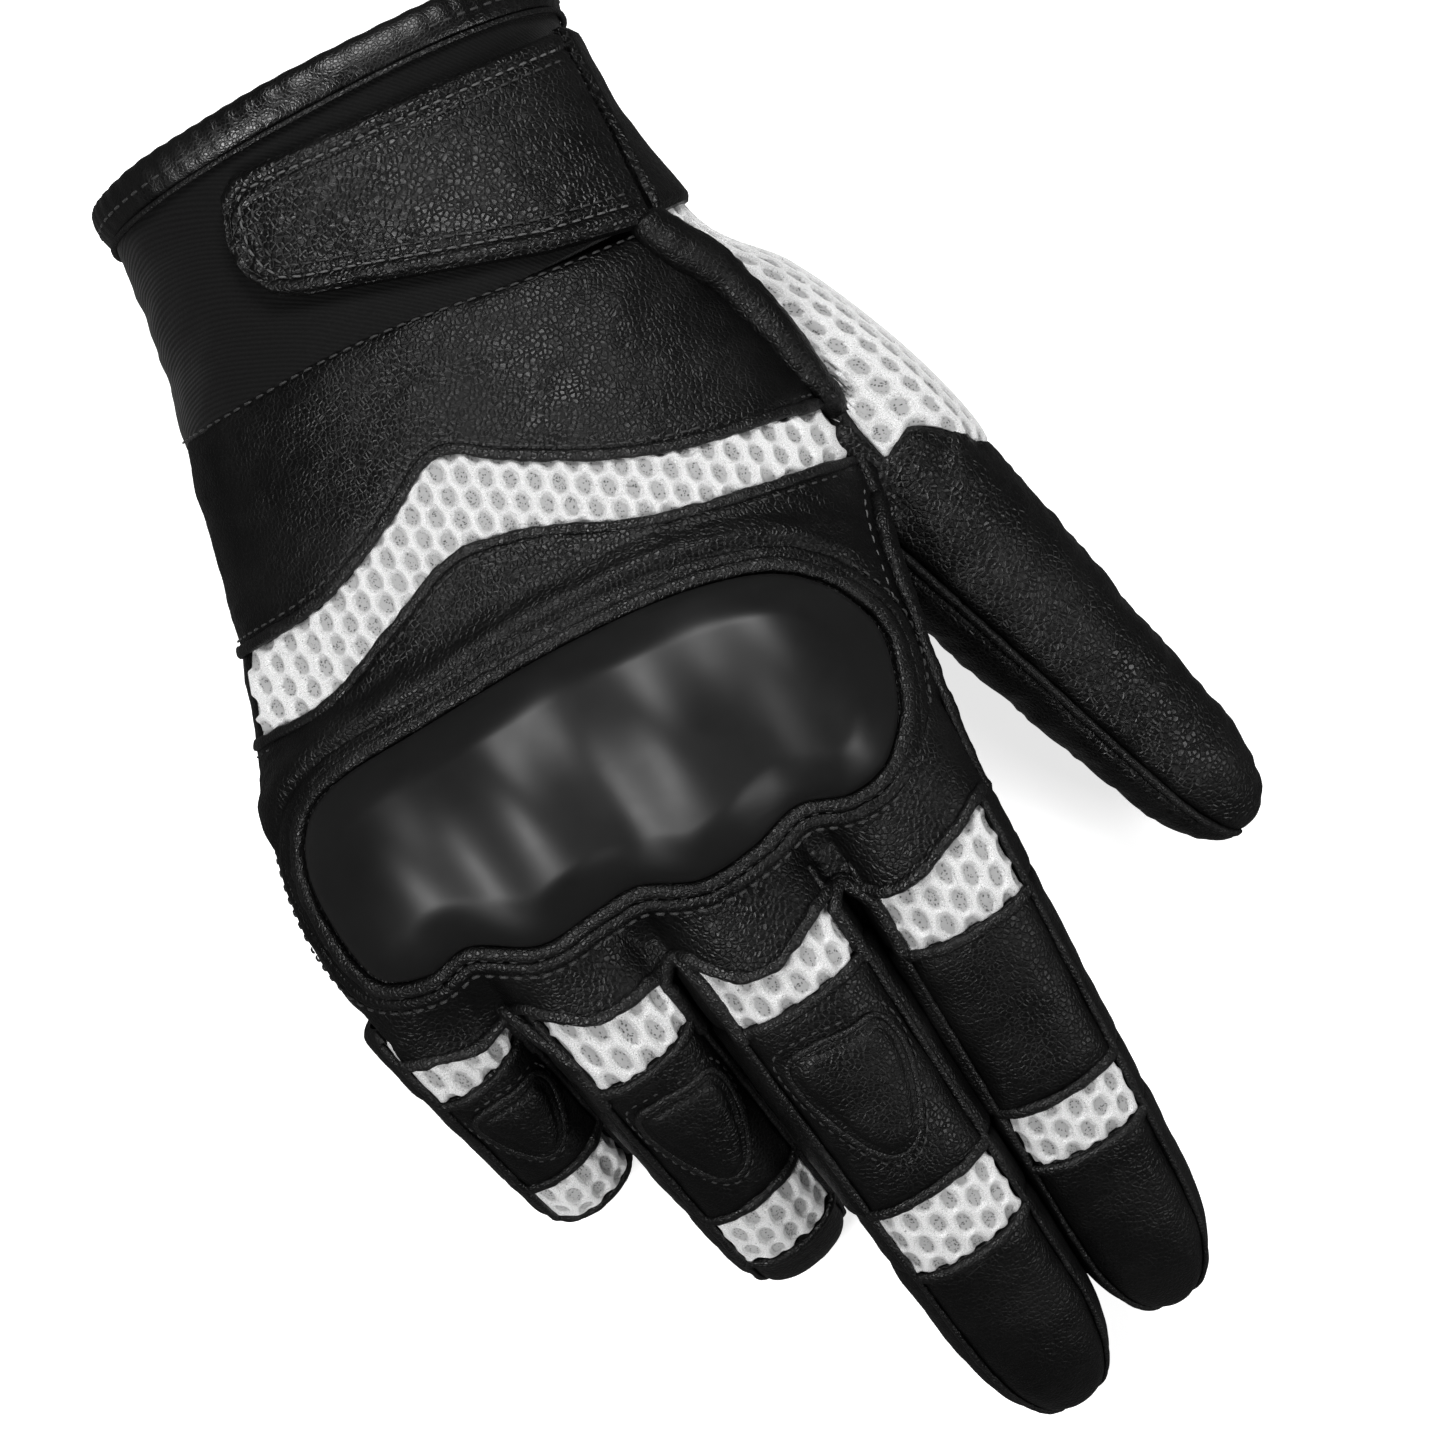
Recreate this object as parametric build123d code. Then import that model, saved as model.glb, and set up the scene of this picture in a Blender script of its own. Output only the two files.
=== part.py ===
"""Right-hand riding glove, palm down, fingers pre-curved, as its separate cut panels and pads.

Row frame: +Y from the wrist opening to the fingers, +X to the little finger, +Z up off the surface it lies on.
The glove is hollow: every panel is a curved shell. A finger is a chain of straight segments with a bent
stretch band at each joint, so that the segments stand clear of each other while the band takes the bend.
"""

from build123d import *
from math import cos, radians, sin
import os

# ---- driving dimensions, millimetres ----
WALL = 2.0  # leather with its bonded lining
SEAM = 0.1  # half the gap between two panels sewn edge to edge
JOINT_GAP = 0.3  # from a body's end to the stretch band beside it
ORIGIN_SHIFT = (9.0, -113.05, 1.5)  # from the wrist frame used below to the row frame
BIG = 400.0

# The hand's sections: centre x, y, z, half width, half height, yaw and tilt of the section, degrees.
PALM_SECTIONS = [
    (0.0, 0.0, 27.5, 40.0, 27.0, 0, 10),
    (1.0, 21.0, 29.5, 41.0, 27.5, 0, 6),
    (1.0, 45.0, 33.0, 45.5, 29.5, 0, 0),
    (2.0, 70.0, 38.5, 50.0, 29.0, 0, 0),
    (6.0, 95.0, 47.0, 53.5, 26.0, 2, 0),
    (9.5, 115.0, 53.5, 54.0, 22.5, 4, 0),
    (10.0, 131.0, 57.5, 53.0, 19.5, 6, 0),
    (9.5, 141.0, 58.0, 50.5, 17.0, 7, 0),
]
PALM_POWER = 2.3  # superellipse power of the palm's sections
SECTION_POINTS = 16
CUFF_OPEN = 30.0  # how far the hollow is run out past the rim

# Thumb root bulge: centre, half width, half height of its sections.
THENAR = [
    ((-22, 34, 26), 12, 12),
    ((-32, 52, 29), 17, 16),
    ((-43, 72, 32), 17.5, 16.5),
    ((-49, 86, 34), 16.5, 15),
]

# Each digit: root centre, lean towards the thumb side, pitches down of socket, first segment and tip,
# lengths of base band, first segment, tip band and tip, half widths and half heights at root and tip.
DIGITS = {
    "index": dict(
        root=(-29.3, 147.0, 58.0), lean=1.5, pitch=(10, 26, 35), run=(12.5, 34.5, 10.0, 38.0),
        width=(13.5, 11.4), height=(11.5, 9.5),
    ),
    "middle": dict(
        root=(0.5, 146.5, 60.5), lean=6.5, pitch=(8, 24, 36), run=(10.5, 41.0, 12.0, 39.5),
        width=(14.3, 11.9), height=(12.0, 9.8),
    ),
    "ring": dict(
        root=(28.2, 144.5, 59.5), lean=11, pitch=(10, 40, 70), run=(9.0, 37.0, 12.5, 21.5),
        width=(11.6, 10.2), height=(11.0, 9.3),
    ),
    "pinky": dict(
        root=(52.9, 136.0, 54.5), lean=15, pitch=(12, 42, 85), run=(8.0, 27.0, 11.0, 19.5),
        width=(10.2, 8.8), height=(9.6, 8.2),
    ),
    "thumb": dict(
        root=(-50.2, 87.0, 33.5), lean=18, pitch=(12, 14, 20), run=(13.0, 31.5, 9.0, 35.0),
        width=(15.6, 10.5), height=(14.0, 9.5),
    ),
}
FINGERS = ["index", "middle", "ring", "pinky"]
PADDED_FINGERS = ["middle", "ring", "pinky"]
SOCKET_DEPTH = 26.0
SOCKET_NARROW = 0.82
BAND_CLEAR = 1.5  # a band is cut no further than this past its surface, short of its bend centre
BACK_SHARE = 0.34  # the back panel starts this share of the half height above the centreline
FRONT_SHARE = -0.38  # and the palm side starts this share below it

# Height of the line along the hand's side where back and palm panels meet.
PARTING = [(-60, 27.5), (20, 29.5), (70, 38.5), (95, 47), (115, 53.5), (131, 57), (300, 57)]
SIDE_STRIP = 6.5  # half the height of the side panel along that line

# Back-of-hand outlines, seen from above.
CUFF_SEAM = [(-75, 42), (-40, 41), (-21, 39.5), (9, 35.5), (46, 35.5), (90, 36)]
MESH_NEAR = [
    (-70, 84), (-44, 78.5), (-18, 72.5), (-1, 64), (10, 57.8), (22, 63.5), (36, 69.5), (53, 71), (90, 71),
]
GUSSET_END = [(-200, 96), (-60, 93.5), (-40, 88), (0, 88)]
MESH_FAR = [
    (-70, 93), (-46, 88.5), (-14, 82), (7, 74), (14, 73), (29, 78.5), (44, 84.3), (56, 84.5), (90, 84),
]
GUARD_OUTLINE = [
    (56.5, 102), (59.3, 112), (57.3, 126), (50, 130), (42, 129), (32, 134), (22, 133.4),
    (14, 133), (4.5, 136.8), (-5, 136.2), (-14.5, 133.6), (-23, 136), (-30.5, 134), (-36.5, 126),
    (-38.5, 113), (-31, 101), (-16, 95.5), (7, 93.8), (33, 95), (49, 96.5),
]
GUARD_KNUCKLES = [(-24, 117), (-1, 119), (26, 116), (46, 113)]  # centres of the four domes
GUARD_DOME = (14.5, 21.0, 9.5)  # half width, half length and height of a dome
GUARD_HEIGHT = 6.2
GUARD_WALL = 2.4
GUARD_GAP = 0.2
TRIM_WIDTH = 4.5
TRIM_HEIGHT = 1.7

# Wrist strap: outline seen from above, hinge at its sewn root.
STRAP_OUTLINE = [(-35.5, 6.5), (0, 4.5), (15, 3.2), (19.5, 5.0), (23.0, 14.5), (20.5, 23.0), (16.5, 25.5), (0, 31.0),
                 (-20, 38.5), (-35.5, 41.0)]
STRAP_LIFT = 2.3  # underside of the strap above the cuff
STRAP_THICK = 2.0
PATCH_THICK = 0.85
HOOK_X = (-6.0, 17.0)
LOOP_X = (-24.0, 27.0)
BINDING_LENGTH = 6.0
BINDING_PROUD = 1.3

# Palm patch that the glove lies on.
HEEL_PATCH = (40.0, 28.0, 1.0, 31.0)  # size in x and y, centre x and y
HEEL_CORNER = 7.0


def superellipse_face(plane, half_width, half_height, power=PALM_POWER):
    """A rounded oval face on a plane."""
    points = []
    for i in range(SECTION_POINTS):
        a = radians(360 * i / SECTION_POINTS)
        c, s = cos(a), sin(a)
        x = half_width * abs(c) ** (2 / power) * (1 if c >= 0 else -1)
        y = half_height * abs(s) ** (2 / power) * (1 if s >= 0 else -1)
        points.append((x, y))
    return plane * make_face(Spline(points, periodic=True))


def palm_plane(section):
    x, y, z, _, _, yaw, tilt = section
    a, t = radians(yaw), radians(tilt)
    # The normal runs to the fingers, turned by yaw about Z and raised by tilt.
    normal = Vector(sin(a) * cos(t), cos(a) * cos(t), sin(t))
    return Plane(origin=(x, y, z), x_dir=(cos(a), -sin(a), 0), z_dir=normal)


def palm_body(offset, rim_run=0.0, far_trim=0.0):
    """The hand's solid, grown by offset; rim_run carries it out past the rim, far_trim stops it short."""
    faces = []
    if rim_run:
        first = palm_plane(PALM_SECTIONS[0])
        back = Plane(origin=first.origin - first.z_dir * rim_run, x_dir=first.x_dir, z_dir=first.z_dir)
        faces.append(superellipse_face(back, PALM_SECTIONS[0][3] + offset, PALM_SECTIONS[0][4] + offset))
    for section in PALM_SECTIONS:
        plane = palm_plane(section)
        if section is PALM_SECTIONS[-1] and far_trim:
            plane = Plane(origin=plane.origin - plane.z_dir * far_trim, x_dir=plane.x_dir, z_dir=plane.z_dir)
        faces.append(superellipse_face(plane, section[3] + offset, section[4] + offset))
    return loft(faces)


def direction(lean, pitch):
    """Unit vector of a digit that leans towards the thumb side and points down by pitch."""
    a, p = radians(lean), radians(pitch)
    return Vector(-sin(a) * cos(p), cos(a) * cos(p), -sin(p))


def side_of(lean):
    """The digit's level axis; a positive turn about it bends the digit down."""
    a = radians(lean)
    return Vector(-cos(a), -sin(a), 0)


class Station:
    """A point on a digit's centreline with its plane."""

    def __init__(self, point, lean, pitch, half_width, half_height):
        self.point = Vector(point)
        self.along = direction(lean, pitch)
        self.side = side_of(lean)
        self.up = self.side.cross(self.along) * -1
        self.half_width = half_width
        self.half_height = half_height

    def face(self, offset=0.0):
        plane = Plane(origin=self.point, x_dir=self.side, z_dir=self.along)
        return plane * make_face(Ellipse(self.half_width + offset, self.half_height + offset).edges())

    def at(self, share, out=0.0):
        """A point above the centreline, as a share of the half height, plus out millimetres."""
        return self.point + self.up * (share * self.half_height + out)


def arc_stations(start, lean, pitch_a, pitch_b, length, sizes):
    """Stations along a bend in the digit's own upright plane."""
    steps = len(sizes) - 1
    stations = []
    point = Vector(start)
    for i, (w, h) in enumerate(sizes):
        pitch = pitch_a + (pitch_b - pitch_a) * i / steps
        stations.append(Station(point, lean, pitch, w, h))
        middle = pitch_a + (pitch_b - pitch_a) * (i + 0.5) / steps
        point = point + direction(lean, middle) * (length / steps)
    return stations


def blend(a, b, share):
    return a + (b - a) * share


def digit_stations(d):
    """Stations of a digit: socket, base band, first segment, tip band, tip."""
    lean, (p0, p1, p2) = d["lean"], d["pitch"]
    base, first, second, tip = d["run"]
    total = base + first + second + tip * 0.45

    def size(at):
        share = min(1.0, at / total)
        return blend(*d["width"], share), blend(*d["height"], share)

    root = Vector(d["root"])
    narrow_w, narrow_h = (v * SOCKET_NARROW for v in size(0))
    socket = [
        Station(root - direction(lean * 0.2, p0) * SOCKET_DEPTH, lean, p0, narrow_w, narrow_h),
        Station(root, lean, p0, *size(0)),
    ]
    base_band = arc_stations(root, lean, p0, p1, base, [size(base * k / 2) for k in range(3)])
    start = base_band[-1].point
    end = start + direction(lean, p1) * first
    segment = [Station(start, lean, p1, *size(base)), Station(end, lean, p1, *size(base + first))]
    at = base + first
    tip_band = arc_stations(end, lean, p1, p2, second, [size(at + second * k / 2) for k in range(3)])
    at = at + second
    cap = []
    for share, narrow in [(0, 1), (0.42, 1), (0.72, 0.86), (0.9, 0.6), (1.0, 0.22)]:
        w, h = size(at + tip * share)
        point = tip_band[-1].point + direction(lean, p2) * (tip * share)
        cap.append(Station(point, lean, p2, w * narrow, h * narrow))
    return socket, base_band, segment, tip_band, cap


def tube(stations, offset=0.0, grow_start=0.0, grow_end=0.0):
    """Loft through stations; grow runs the ends out along the digit."""
    faces = [s.face(offset) for s in stations]
    if grow_start:
        faces[0] = faces[0].moved(Location(stations[0].along * -grow_start))
    if grow_end:
        faces[-1] = faces[-1].moved(Location(stations[-1].along * grow_end))
    return loft(faces)


def slab(stations, low, high, low_out=0.0, high_out=0.0, trim_start=0.0, trim_end=0.0, halves=60.0):
    """The part of a digit between two lines that follow its centreline, as a thick plate across it."""
    line = [s.at(low, low_out) for s in stations]
    back = [s.at(high, high_out) for s in reversed(stations)]
    line[0] = line[0] + stations[0].along * trim_start
    back[-1] = back[-1] + stations[0].along * trim_start
    line[-1] = line[-1] - stations[-1].along * trim_end
    back[0] = back[0] - stations[-1].along * trim_end
    face = make_face(Polyline(*line, *back, close=True))
    side = stations[0].side
    face = face.moved(Location(side * -halves))
    return extrude(face, amount=2 * halves, dir=side)


def piece(shape):
    """The one main solid of a boolean result, without slivers."""
    solids = sorted(shape.solids(), key=lambda s: s.volume, reverse=True)
    return solids[0]


def pieces(shape, least=5.0):
    """Every solid over least cubic millimetres."""
    return Compound([s for s in shape.solids() if s.volume > least])


def block_below(z_line, down=0.0, up=BIG, x_low=-BIG, x_high=BIG):
    """Prism across X between the parting line moved by down and by up."""
    low = [(y, z + down) for y, z in z_line]
    high = [(y, z + up) for y, z in reversed(z_line)]
    points = [Vector(x_low, y, z) for y, z in [*low, *high]]
    return extrude(make_face(Polyline(*points, close=True)), amount=x_high - x_low, dir=(1, 0, 0))


def band_between(near, far, gap=SEAM):
    """Upright prism between two outlines seen from above; None runs out to a far line."""
    low_z, high_z = -50.0, 150.0
    near_points = [(x, y + gap) for x, y in near]
    far_points = [(x, y - gap) for x, y in reversed(far)]
    face = make_face(
        Polyline(*near_points) + Polyline(near_points[-1], far_points[0]) + Polyline(*far_points)
        + Polyline(far_points[-1], near_points[0])
    )
    return extrude(Pos(0, 0, low_z) * face, amount=high_z - low_z)


def grown(outline, amount):
    """An outline that runs counter-clockwise, moved out by amount along its normals."""
    moved = []
    for i, (x, y) in enumerate(outline):
        (xa, ya), (xb, yb) = outline[i - 1], outline[(i + 1) % len(outline)]
        length = ((xb - xa) ** 2 + (yb - ya) ** 2) ** 0.5
        moved.append((x + (yb - ya) / length * amount, y - (xb - xa) / length * amount))
    return moved


def prism(outline, grow=0.0, smooth=True):
    """Upright prism of a closed outline seen from above, its outline moved out by grow."""
    points = grown(outline, grow)
    wire = Spline(points, periodic=True) if smooth else Polyline(*points, close=True)
    return extrude(Pos(0, 0, 20) * make_face(wire), amount=120)


# ---- the hand's shell: palm, thumb root and the four finger sockets ----
parts = {}
stations = {name: digit_stations(d) for name, d in DIGITS.items()}
thenar_stations = [Station(c, 18, 14, w, h) for c, w, h in THENAR]


def hand_solid(off, hollow=False):
    """The palm joined with the thumb root and the finger sockets."""
    body = palm_body(off, rim_run=CUFF_OPEN if hollow else 0.0, far_trim=WALL if hollow else 0.0)
    body = body + tube(thenar_stations, off, grow_end=1.0 if hollow else 0.0)
    for name in FINGERS:
        body = body + tube(stations[name][0], off, grow_end=1.0 if hollow else 0.0)
    return piece(body)


outer = hand_solid(0.0)
inner = hand_solid(-WALL, hollow=True)
shell = outer - inner
for chain in stations.values():
    shell = shell - tube(chain[1], JOINT_GAP, grow_start=SEAM)
shell = piece(shell)

back_side = block_below(PARTING, down=SIDE_STRIP + SEAM)
palm_side = block_below(PARTING, down=-BIG, up=-SIDE_STRIP - SEAM)
middle_strip = block_below(PARTING, down=-SIDE_STRIP, up=SIDE_STRIP)
back_shell = shell & back_side
palm_shell = shell & palm_side
radial_half = Pos(-200, 0, 0) * Box(400, 800, 400)
FAR = [(-200, 300), (200, 300)]
RIM = [(-200, -80), (200, -80)]

thumb_zone = Pos(-113, 60, 50) * Box(140, 110, 200)  # x below -43: the gusset beside the back panels

cuff_block = band_between(RIM, CUFF_SEAM)
cuff_ring = shell & cuff_block
parts["cuff_fabric"] = piece(cuff_ring)
beyond_cuff = band_between(CUFF_SEAM, FAR)
parts["back_panel"] = piece(back_shell & band_between(CUFF_SEAM, MESH_NEAR) - thumb_zone)
parts["back_mesh"] = piece(back_shell & band_between(MESH_NEAR, MESH_FAR) - thumb_zone)
index_side = (back_shell & thumb_zone) + (shell & middle_strip & radial_half)
parts["knuckle_panel"] = piece(
    (back_shell & band_between(MESH_FAR, FAR) - thumb_zone) + (index_side & band_between(GUSSET_END, FAR))
)
parts["palm_panel"] = piece(palm_shell & beyond_cuff)
parts["side_panel"] = piece(shell & middle_strip & beyond_cuff - radial_half)
parts["thumb_gusset_mesh"] = piece(index_side & band_between(CUFF_SEAM, GUSSET_END))

# ---- wrist: binding, strap and its patches ----
rim_plane = palm_plane(PALM_SECTIONS[0])
binding_slab = rim_plane * Pos(0, 0, -BINDING_LENGTH / 2 - 0.2) * Box(200, 200, BINDING_LENGTH)
binding = palm_body(BINDING_PROUD, rim_run=8.0) - palm_body(-WALL - 0.8, rim_run=CUFF_OPEN)
parts["cuff_binding"] = piece(binding & binding_slab)

strap_prism = prism(STRAP_OUTLINE, smooth=False)
strap_low, strap_high = palm_body(STRAP_LIFT), palm_body(STRAP_LIFT + STRAP_THICK)
upper_half = Pos(0, 0, 130) * Box(400, 400, 200)
parts["strap"] = piece((strap_high - strap_low) & strap_prism & upper_half)
hook_zone = Pos(sum(HOOK_X) / 2, 15.5, 60) * Box(HOOK_X[1] - HOOK_X[0], 17, 120)
loop_zone = Pos(sum(LOOP_X) / 2, 18.5, 60) * Box(LOOP_X[1] - LOOP_X[0], 22, 120)
hook_top, hook_low = palm_body(STRAP_LIFT - 0.02), palm_body(STRAP_LIFT - PATCH_THICK)
parts["hook_patch"] = piece((hook_top - hook_low) & hook_zone & upper_half)
loop_top, loop_low = palm_body(0.15 + PATCH_THICK), palm_body(0.15)
parts["loop_patch"] = piece((loop_top - loop_low) & loop_zone & upper_half)
tail_zone = Pos(-60, 24, 38) * Box(44.6, 34, 28)  # ends beside the strap's hinge
tail_low, tail_high = palm_body(0.45), palm_body(0.45 + STRAP_THICK)
parts["strap_root_tab"] = piece((tail_high - tail_low) & tail_zone)

# ---- knuckle guard: hard shell, foam inside it, stitched leather frame ----
level = {off: palm_body(off) for off in (TRIM_HEIGHT, GUARD_HEIGHT, GUARD_HEIGHT - GUARD_WALL)}


def domes(shrink):
    """The four knuckle domes, smaller by shrink for the hollow."""
    shapes = []
    for x, y in GUARD_KNUCKLES:
        z = 71.5 - 0.0042 * (x - 8) ** 2 + 0.03 * (y - 115)
        w, l, h = (v - shrink for v in GUARD_DOME)
        unit = scale(Sphere(1.0), by=(w, l, h + 4.0))
        shapes.append(Pos(x, y, z) * unit)
    return shapes


guard_prism = prism(GUARD_OUTLINE)
guard_hollow_prism = prism(GUARD_OUTLINE, grow=-GUARD_WALL)
guard_top = level[GUARD_HEIGHT] & guard_prism
for dome in domes(0.0):
    guard_top = guard_top + (dome & guard_prism)
guard_room = level[GUARD_HEIGHT - GUARD_WALL] & guard_hollow_prism
for dome in domes(GUARD_WALL):
    guard_room = guard_room + (dome & guard_hollow_prism)
hand_top = hand_solid(GUARD_GAP)
parts["knuckle_guard"] = piece(guard_top - guard_room - hand_top)
foam_prism = prism(GUARD_OUTLINE, grow=-GUARD_WALL - 0.3)
foam_top = palm_body(GUARD_HEIGHT - GUARD_WALL - 0.3)
parts["knuckle_foam"] = piece((foam_top & foam_prism) - hand_top)
trim_ring = prism(GUARD_OUTLINE, grow=TRIM_WIDTH) - prism(GUARD_OUTLINE, grow=0.25)
parts["guard_frame"] = piece((level[TRIM_HEIGHT] & trim_ring & back_side) - hand_top)

# ---- palm patch with the flat face that the glove lies on ----
size_x, size_y, centre_x, centre_y = HEEL_PATCH
patch = Pos(centre_x, centre_y, 0) * extrude(RectangleRounded(size_x, size_y, HEEL_CORNER), amount=12)
patch = patch.moved(Location((0, 0, -ORIGIN_SHIFT[2])))
parts["palm_heel_patch"] = piece(patch - palm_body(0.15))

# ---- digits ----
for name, chain in stations.items():
    socket, base_band, segment, tip_band, cap = chain
    trims = dict(trim_start=JOINT_GAP, trim_end=JOINT_GAP)
    shells = {}
    for key, run in (("base", base_band), ("segment", segment), ("band", tip_band)):
        shells[key] = tube(run) - tube(run, -WALL, grow_start=1.0, grow_end=1.0)
    tip_room = tube(cap[:-1], -WALL, grow_start=1.0)
    shells["tip"] = tube(cap) - tip_room
    upper = dict(low=BACK_SHARE, high=1, high_out=20.0)
    lower = dict(low=FRONT_SHARE, high=-1, high_out=-20.0, low_out=-2 * SEAM)
    wrap = dict(low=BACK_SHARE, high=-1, high_out=-BAND_CLEAR, low_out=-2 * SEAM)
    if name == "thumb":
        parts["thumb_base_fold"] = piece(shells["base"] & slab(base_band, -1, 1, -20, 20, **trims))
        parts["thumb_outer"] = piece(shells["segment"] & slab(segment, 0, 1, high_out=20))
        parts["thumb_inner"] = piece(shells["segment"] & slab(segment, 0, -1, low_out=-2 * SEAM, high_out=-20))
        parts["thumb_tip_fold"] = piece(shells["band"] & slab(tip_band, -1, 1, -20, 20, **trims))
        parts["thumb_tip"] = piece(shells["tip"])
        continue
    parts[f"{name}_base_mesh"] = piece(shells["base"] & slab(base_band, **upper, **trims))
    parts[f"{name}_base_crease"] = piece(shells["base"] & slab(base_band, **wrap, **trims))
    parts[f"{name}_back"] = piece(shells["segment"] & slab(segment, **upper))
    parts[f"{name}_front"] = piece(shells["segment"] & slab(segment, **lower))
    sides = shells["segment"] & slab(segment, low=FRONT_SHARE, high=BACK_SHARE, high_out=-2 * SEAM)
    parts[f"{name}_sidewalls"] = pieces(sides)
    parts[f"{name}_tip_mesh"] = piece(shells["band"] & slab(tip_band, **upper, **trims))
    parts[f"{name}_tip_crease"] = piece(shells["band"] & slab(tip_band, **wrap, **trims))
    parts[f"{name}_tip_back"] = piece(shells["tip"] & slab(cap, **upper))
    parts[f"{name}_tip_front"] = piece(shells["tip"] & slab(cap, **wrap))
    if name in PADDED_FINGERS:
        start, end = segment
        centre = start.point + (end.point - start.point) * 0.5
        local = Plane(origin=centre, x_dir=start.side, z_dir=start.up)
        half_w, half_l = start.half_width * 0.62, (end.point - start.point).length * 0.36
        outline = [
            (-half_w, -half_l * 0.95), (0, -half_l * 1.08), (half_w, -half_l * 0.8), (half_w, half_l * 0.1),
            (half_w * 0.3, half_l), (-half_w * 0.45, half_l), (-half_w, half_l * 0.2),
        ]
        pad_prism = extrude(local * make_face(Spline(outline, periodic=True)), amount=40)
        parts[f"{name}_pad"] = piece((tube(segment, 2.0) - tube(segment, 0.12)) & pad_prism)

# ---- into the row frame ----
os.makedirs("parts", exist_ok=True)
low, high = [BIG] * 3, [-BIG] * 3
for name, shape in parts.items():
    placed = shape.moved(Location(ORIGIN_SHIFT))
    export_step(placed, f"parts/{name}.step")
    box = placed.bounding_box()
    low = [min(a, b) for a, b in zip(low, box.min)]
    high = [max(a, b) for a, b in zip(high, box.max)]
print(len(parts), "nodes; box", [round(v, 2) for v in low], [round(v, 2) for v in high])
for name, chain in stations.items():
    for label, run in (("base", chain[1]), ("tip", chain[3])):
        axis = run[1].at(-0.6 if name != "thumb" else 0.0) + Vector(ORIGIN_SHIFT)
        print(name, label, [round(v, 2) for v in axis], [round(v, 4) for v in run[1].side])
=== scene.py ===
"""Looks of the riding glove: every panel, welt, seam, pad and mesh band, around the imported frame.

Shapes are worked out in the wrist frame, in millimetres: +Y from the cuff's rim to the fingers, +X to the
little finger, +Z up through the back of the hand. to_row() takes them to the row frame, in metres.
"""

from math import cos, pi, radians, sin, tan

import bpy
import numpy as np
from mathutils import Matrix, Vector


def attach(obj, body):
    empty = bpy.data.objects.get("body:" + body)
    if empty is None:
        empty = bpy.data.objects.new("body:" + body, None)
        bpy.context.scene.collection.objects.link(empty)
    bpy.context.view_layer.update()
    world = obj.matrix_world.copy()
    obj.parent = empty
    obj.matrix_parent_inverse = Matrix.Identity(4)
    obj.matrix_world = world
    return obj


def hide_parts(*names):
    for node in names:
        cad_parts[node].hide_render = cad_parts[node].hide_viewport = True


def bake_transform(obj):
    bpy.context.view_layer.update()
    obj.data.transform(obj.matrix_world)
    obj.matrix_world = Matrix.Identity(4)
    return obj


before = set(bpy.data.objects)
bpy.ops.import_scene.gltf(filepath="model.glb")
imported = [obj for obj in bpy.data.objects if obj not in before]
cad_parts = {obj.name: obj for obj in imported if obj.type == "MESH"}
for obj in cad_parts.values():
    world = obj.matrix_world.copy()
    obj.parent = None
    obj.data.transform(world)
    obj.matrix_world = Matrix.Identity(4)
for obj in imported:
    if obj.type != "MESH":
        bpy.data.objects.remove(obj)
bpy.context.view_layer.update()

# ---------------------------------------------------------------- driving dimensions, millimetres

SHIFT = np.array([9.0, -113.05, 1.5])  # from the wrist frame to the row frame
WALL = 1.6  # thickness of a leather panel with its lining

# The hand's sections: y, centre x, centre z, half width, half height, yaw and tilt in degrees.
PALM = np.array([
    (0.0, 0.0, 27.5, 40.0, 27.0, 0, 10),
    (21.0, 1.0, 29.5, 41.0, 27.5, 0, 6),
    (45.0, 1.0, 33.0, 45.5, 29.5, 0, 0),
    (70.0, 2.0, 38.5, 50.0, 29.0, 0, 0),
    (95.0, 6.0, 47.0, 53.5, 26.0, 2, 0),
    (115.0, 9.5, 53.5, 54.0, 22.5, 4, 0),
    (131.0, 10.0, 57.5, 53.0, 19.5, 6, 0),
    (143.0, 9.5, 58.5, 50.5, 17.0, 7, 0),
])
PALM_POWER = 2.3
FINGER_POWER = 2.35

DIGITS = {
    "index": dict(root=(-29.3, 147.0, 58.0), lean=1.5, pitch=(10, 26, 35), run=(12.5, 34.5, 10.0, 41.0),
                  width=(13.5, 11.4), height=(11.5, 9.5)),
    "middle": dict(root=(0.5, 146.5, 60.5), lean=6.5, pitch=(8, 24, 36), run=(10.5, 41.0, 12.0, 43.5),
                   width=(14.3, 11.9), height=(12.0, 9.8)),
    "ring": dict(root=(28.2, 144.5, 59.5), lean=11, pitch=(10, 40, 70), run=(9.0, 37.0, 12.5, 21.5),
                 width=(11.6, 10.2), height=(11.0, 9.3)),
    "pinky": dict(root=(52.9, 136.0, 54.5), lean=15, pitch=(12, 42, 85), run=(8.0, 27.0, 11.0, 19.5),
                  width=(10.2, 8.8), height=(9.6, 8.2)),
    "thumb": dict(root=(-50.2, 87.0, 33.5), lean=18, pitch=(12, 14, 20), run=(13.0, 31.5, 9.0, 38.0),
                  width=(15.6, 10.5), height=(14.0, 9.5)),
}
FINGERS = ("index", "middle", "ring", "pinky")

# Back-of-hand seam lines seen from above, as x, y points from the thumb side to the little-finger side.
CUFF_SEAM = [(-75, 42), (-40, 41), (-21, 39.5), (9, 35.5), (46, 35.5), (90, 36)]
MESH_NEAR = [
    (-70, 84), (-44, 78.5), (-18, 72.5), (-1, 64), (10, 57.8), (22, 63.5), (36, 69.5), (53, 71), (90, 71),
]
MESH_FAR = [
    (-70, 93), (-46, 88.5), (-14, 82), (7, 74), (14, 73), (29, 78.5), (44, 84.3), (56, 84.5), (90, 84),
]
KNUCKLE_END = [
    (-70, 143), (-44, 143.5), (-39, 146.4), (-33, 149.5), (-26, 152.3), (-19, 151.4), (-15, 147),
    (-12, 148), (-5, 152), (2, 154.5), (7, 153), (10.5, 149.5), (13.5, 145.5), (16, 146.5), (21, 148),
    (26, 148.8), (31, 148.2), (36, 144.5), (40, 141.2), (43, 142), (48, 143.8), (55, 142.5),
    (62, 139.8), (66, 136), (90, 134),
]
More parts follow.
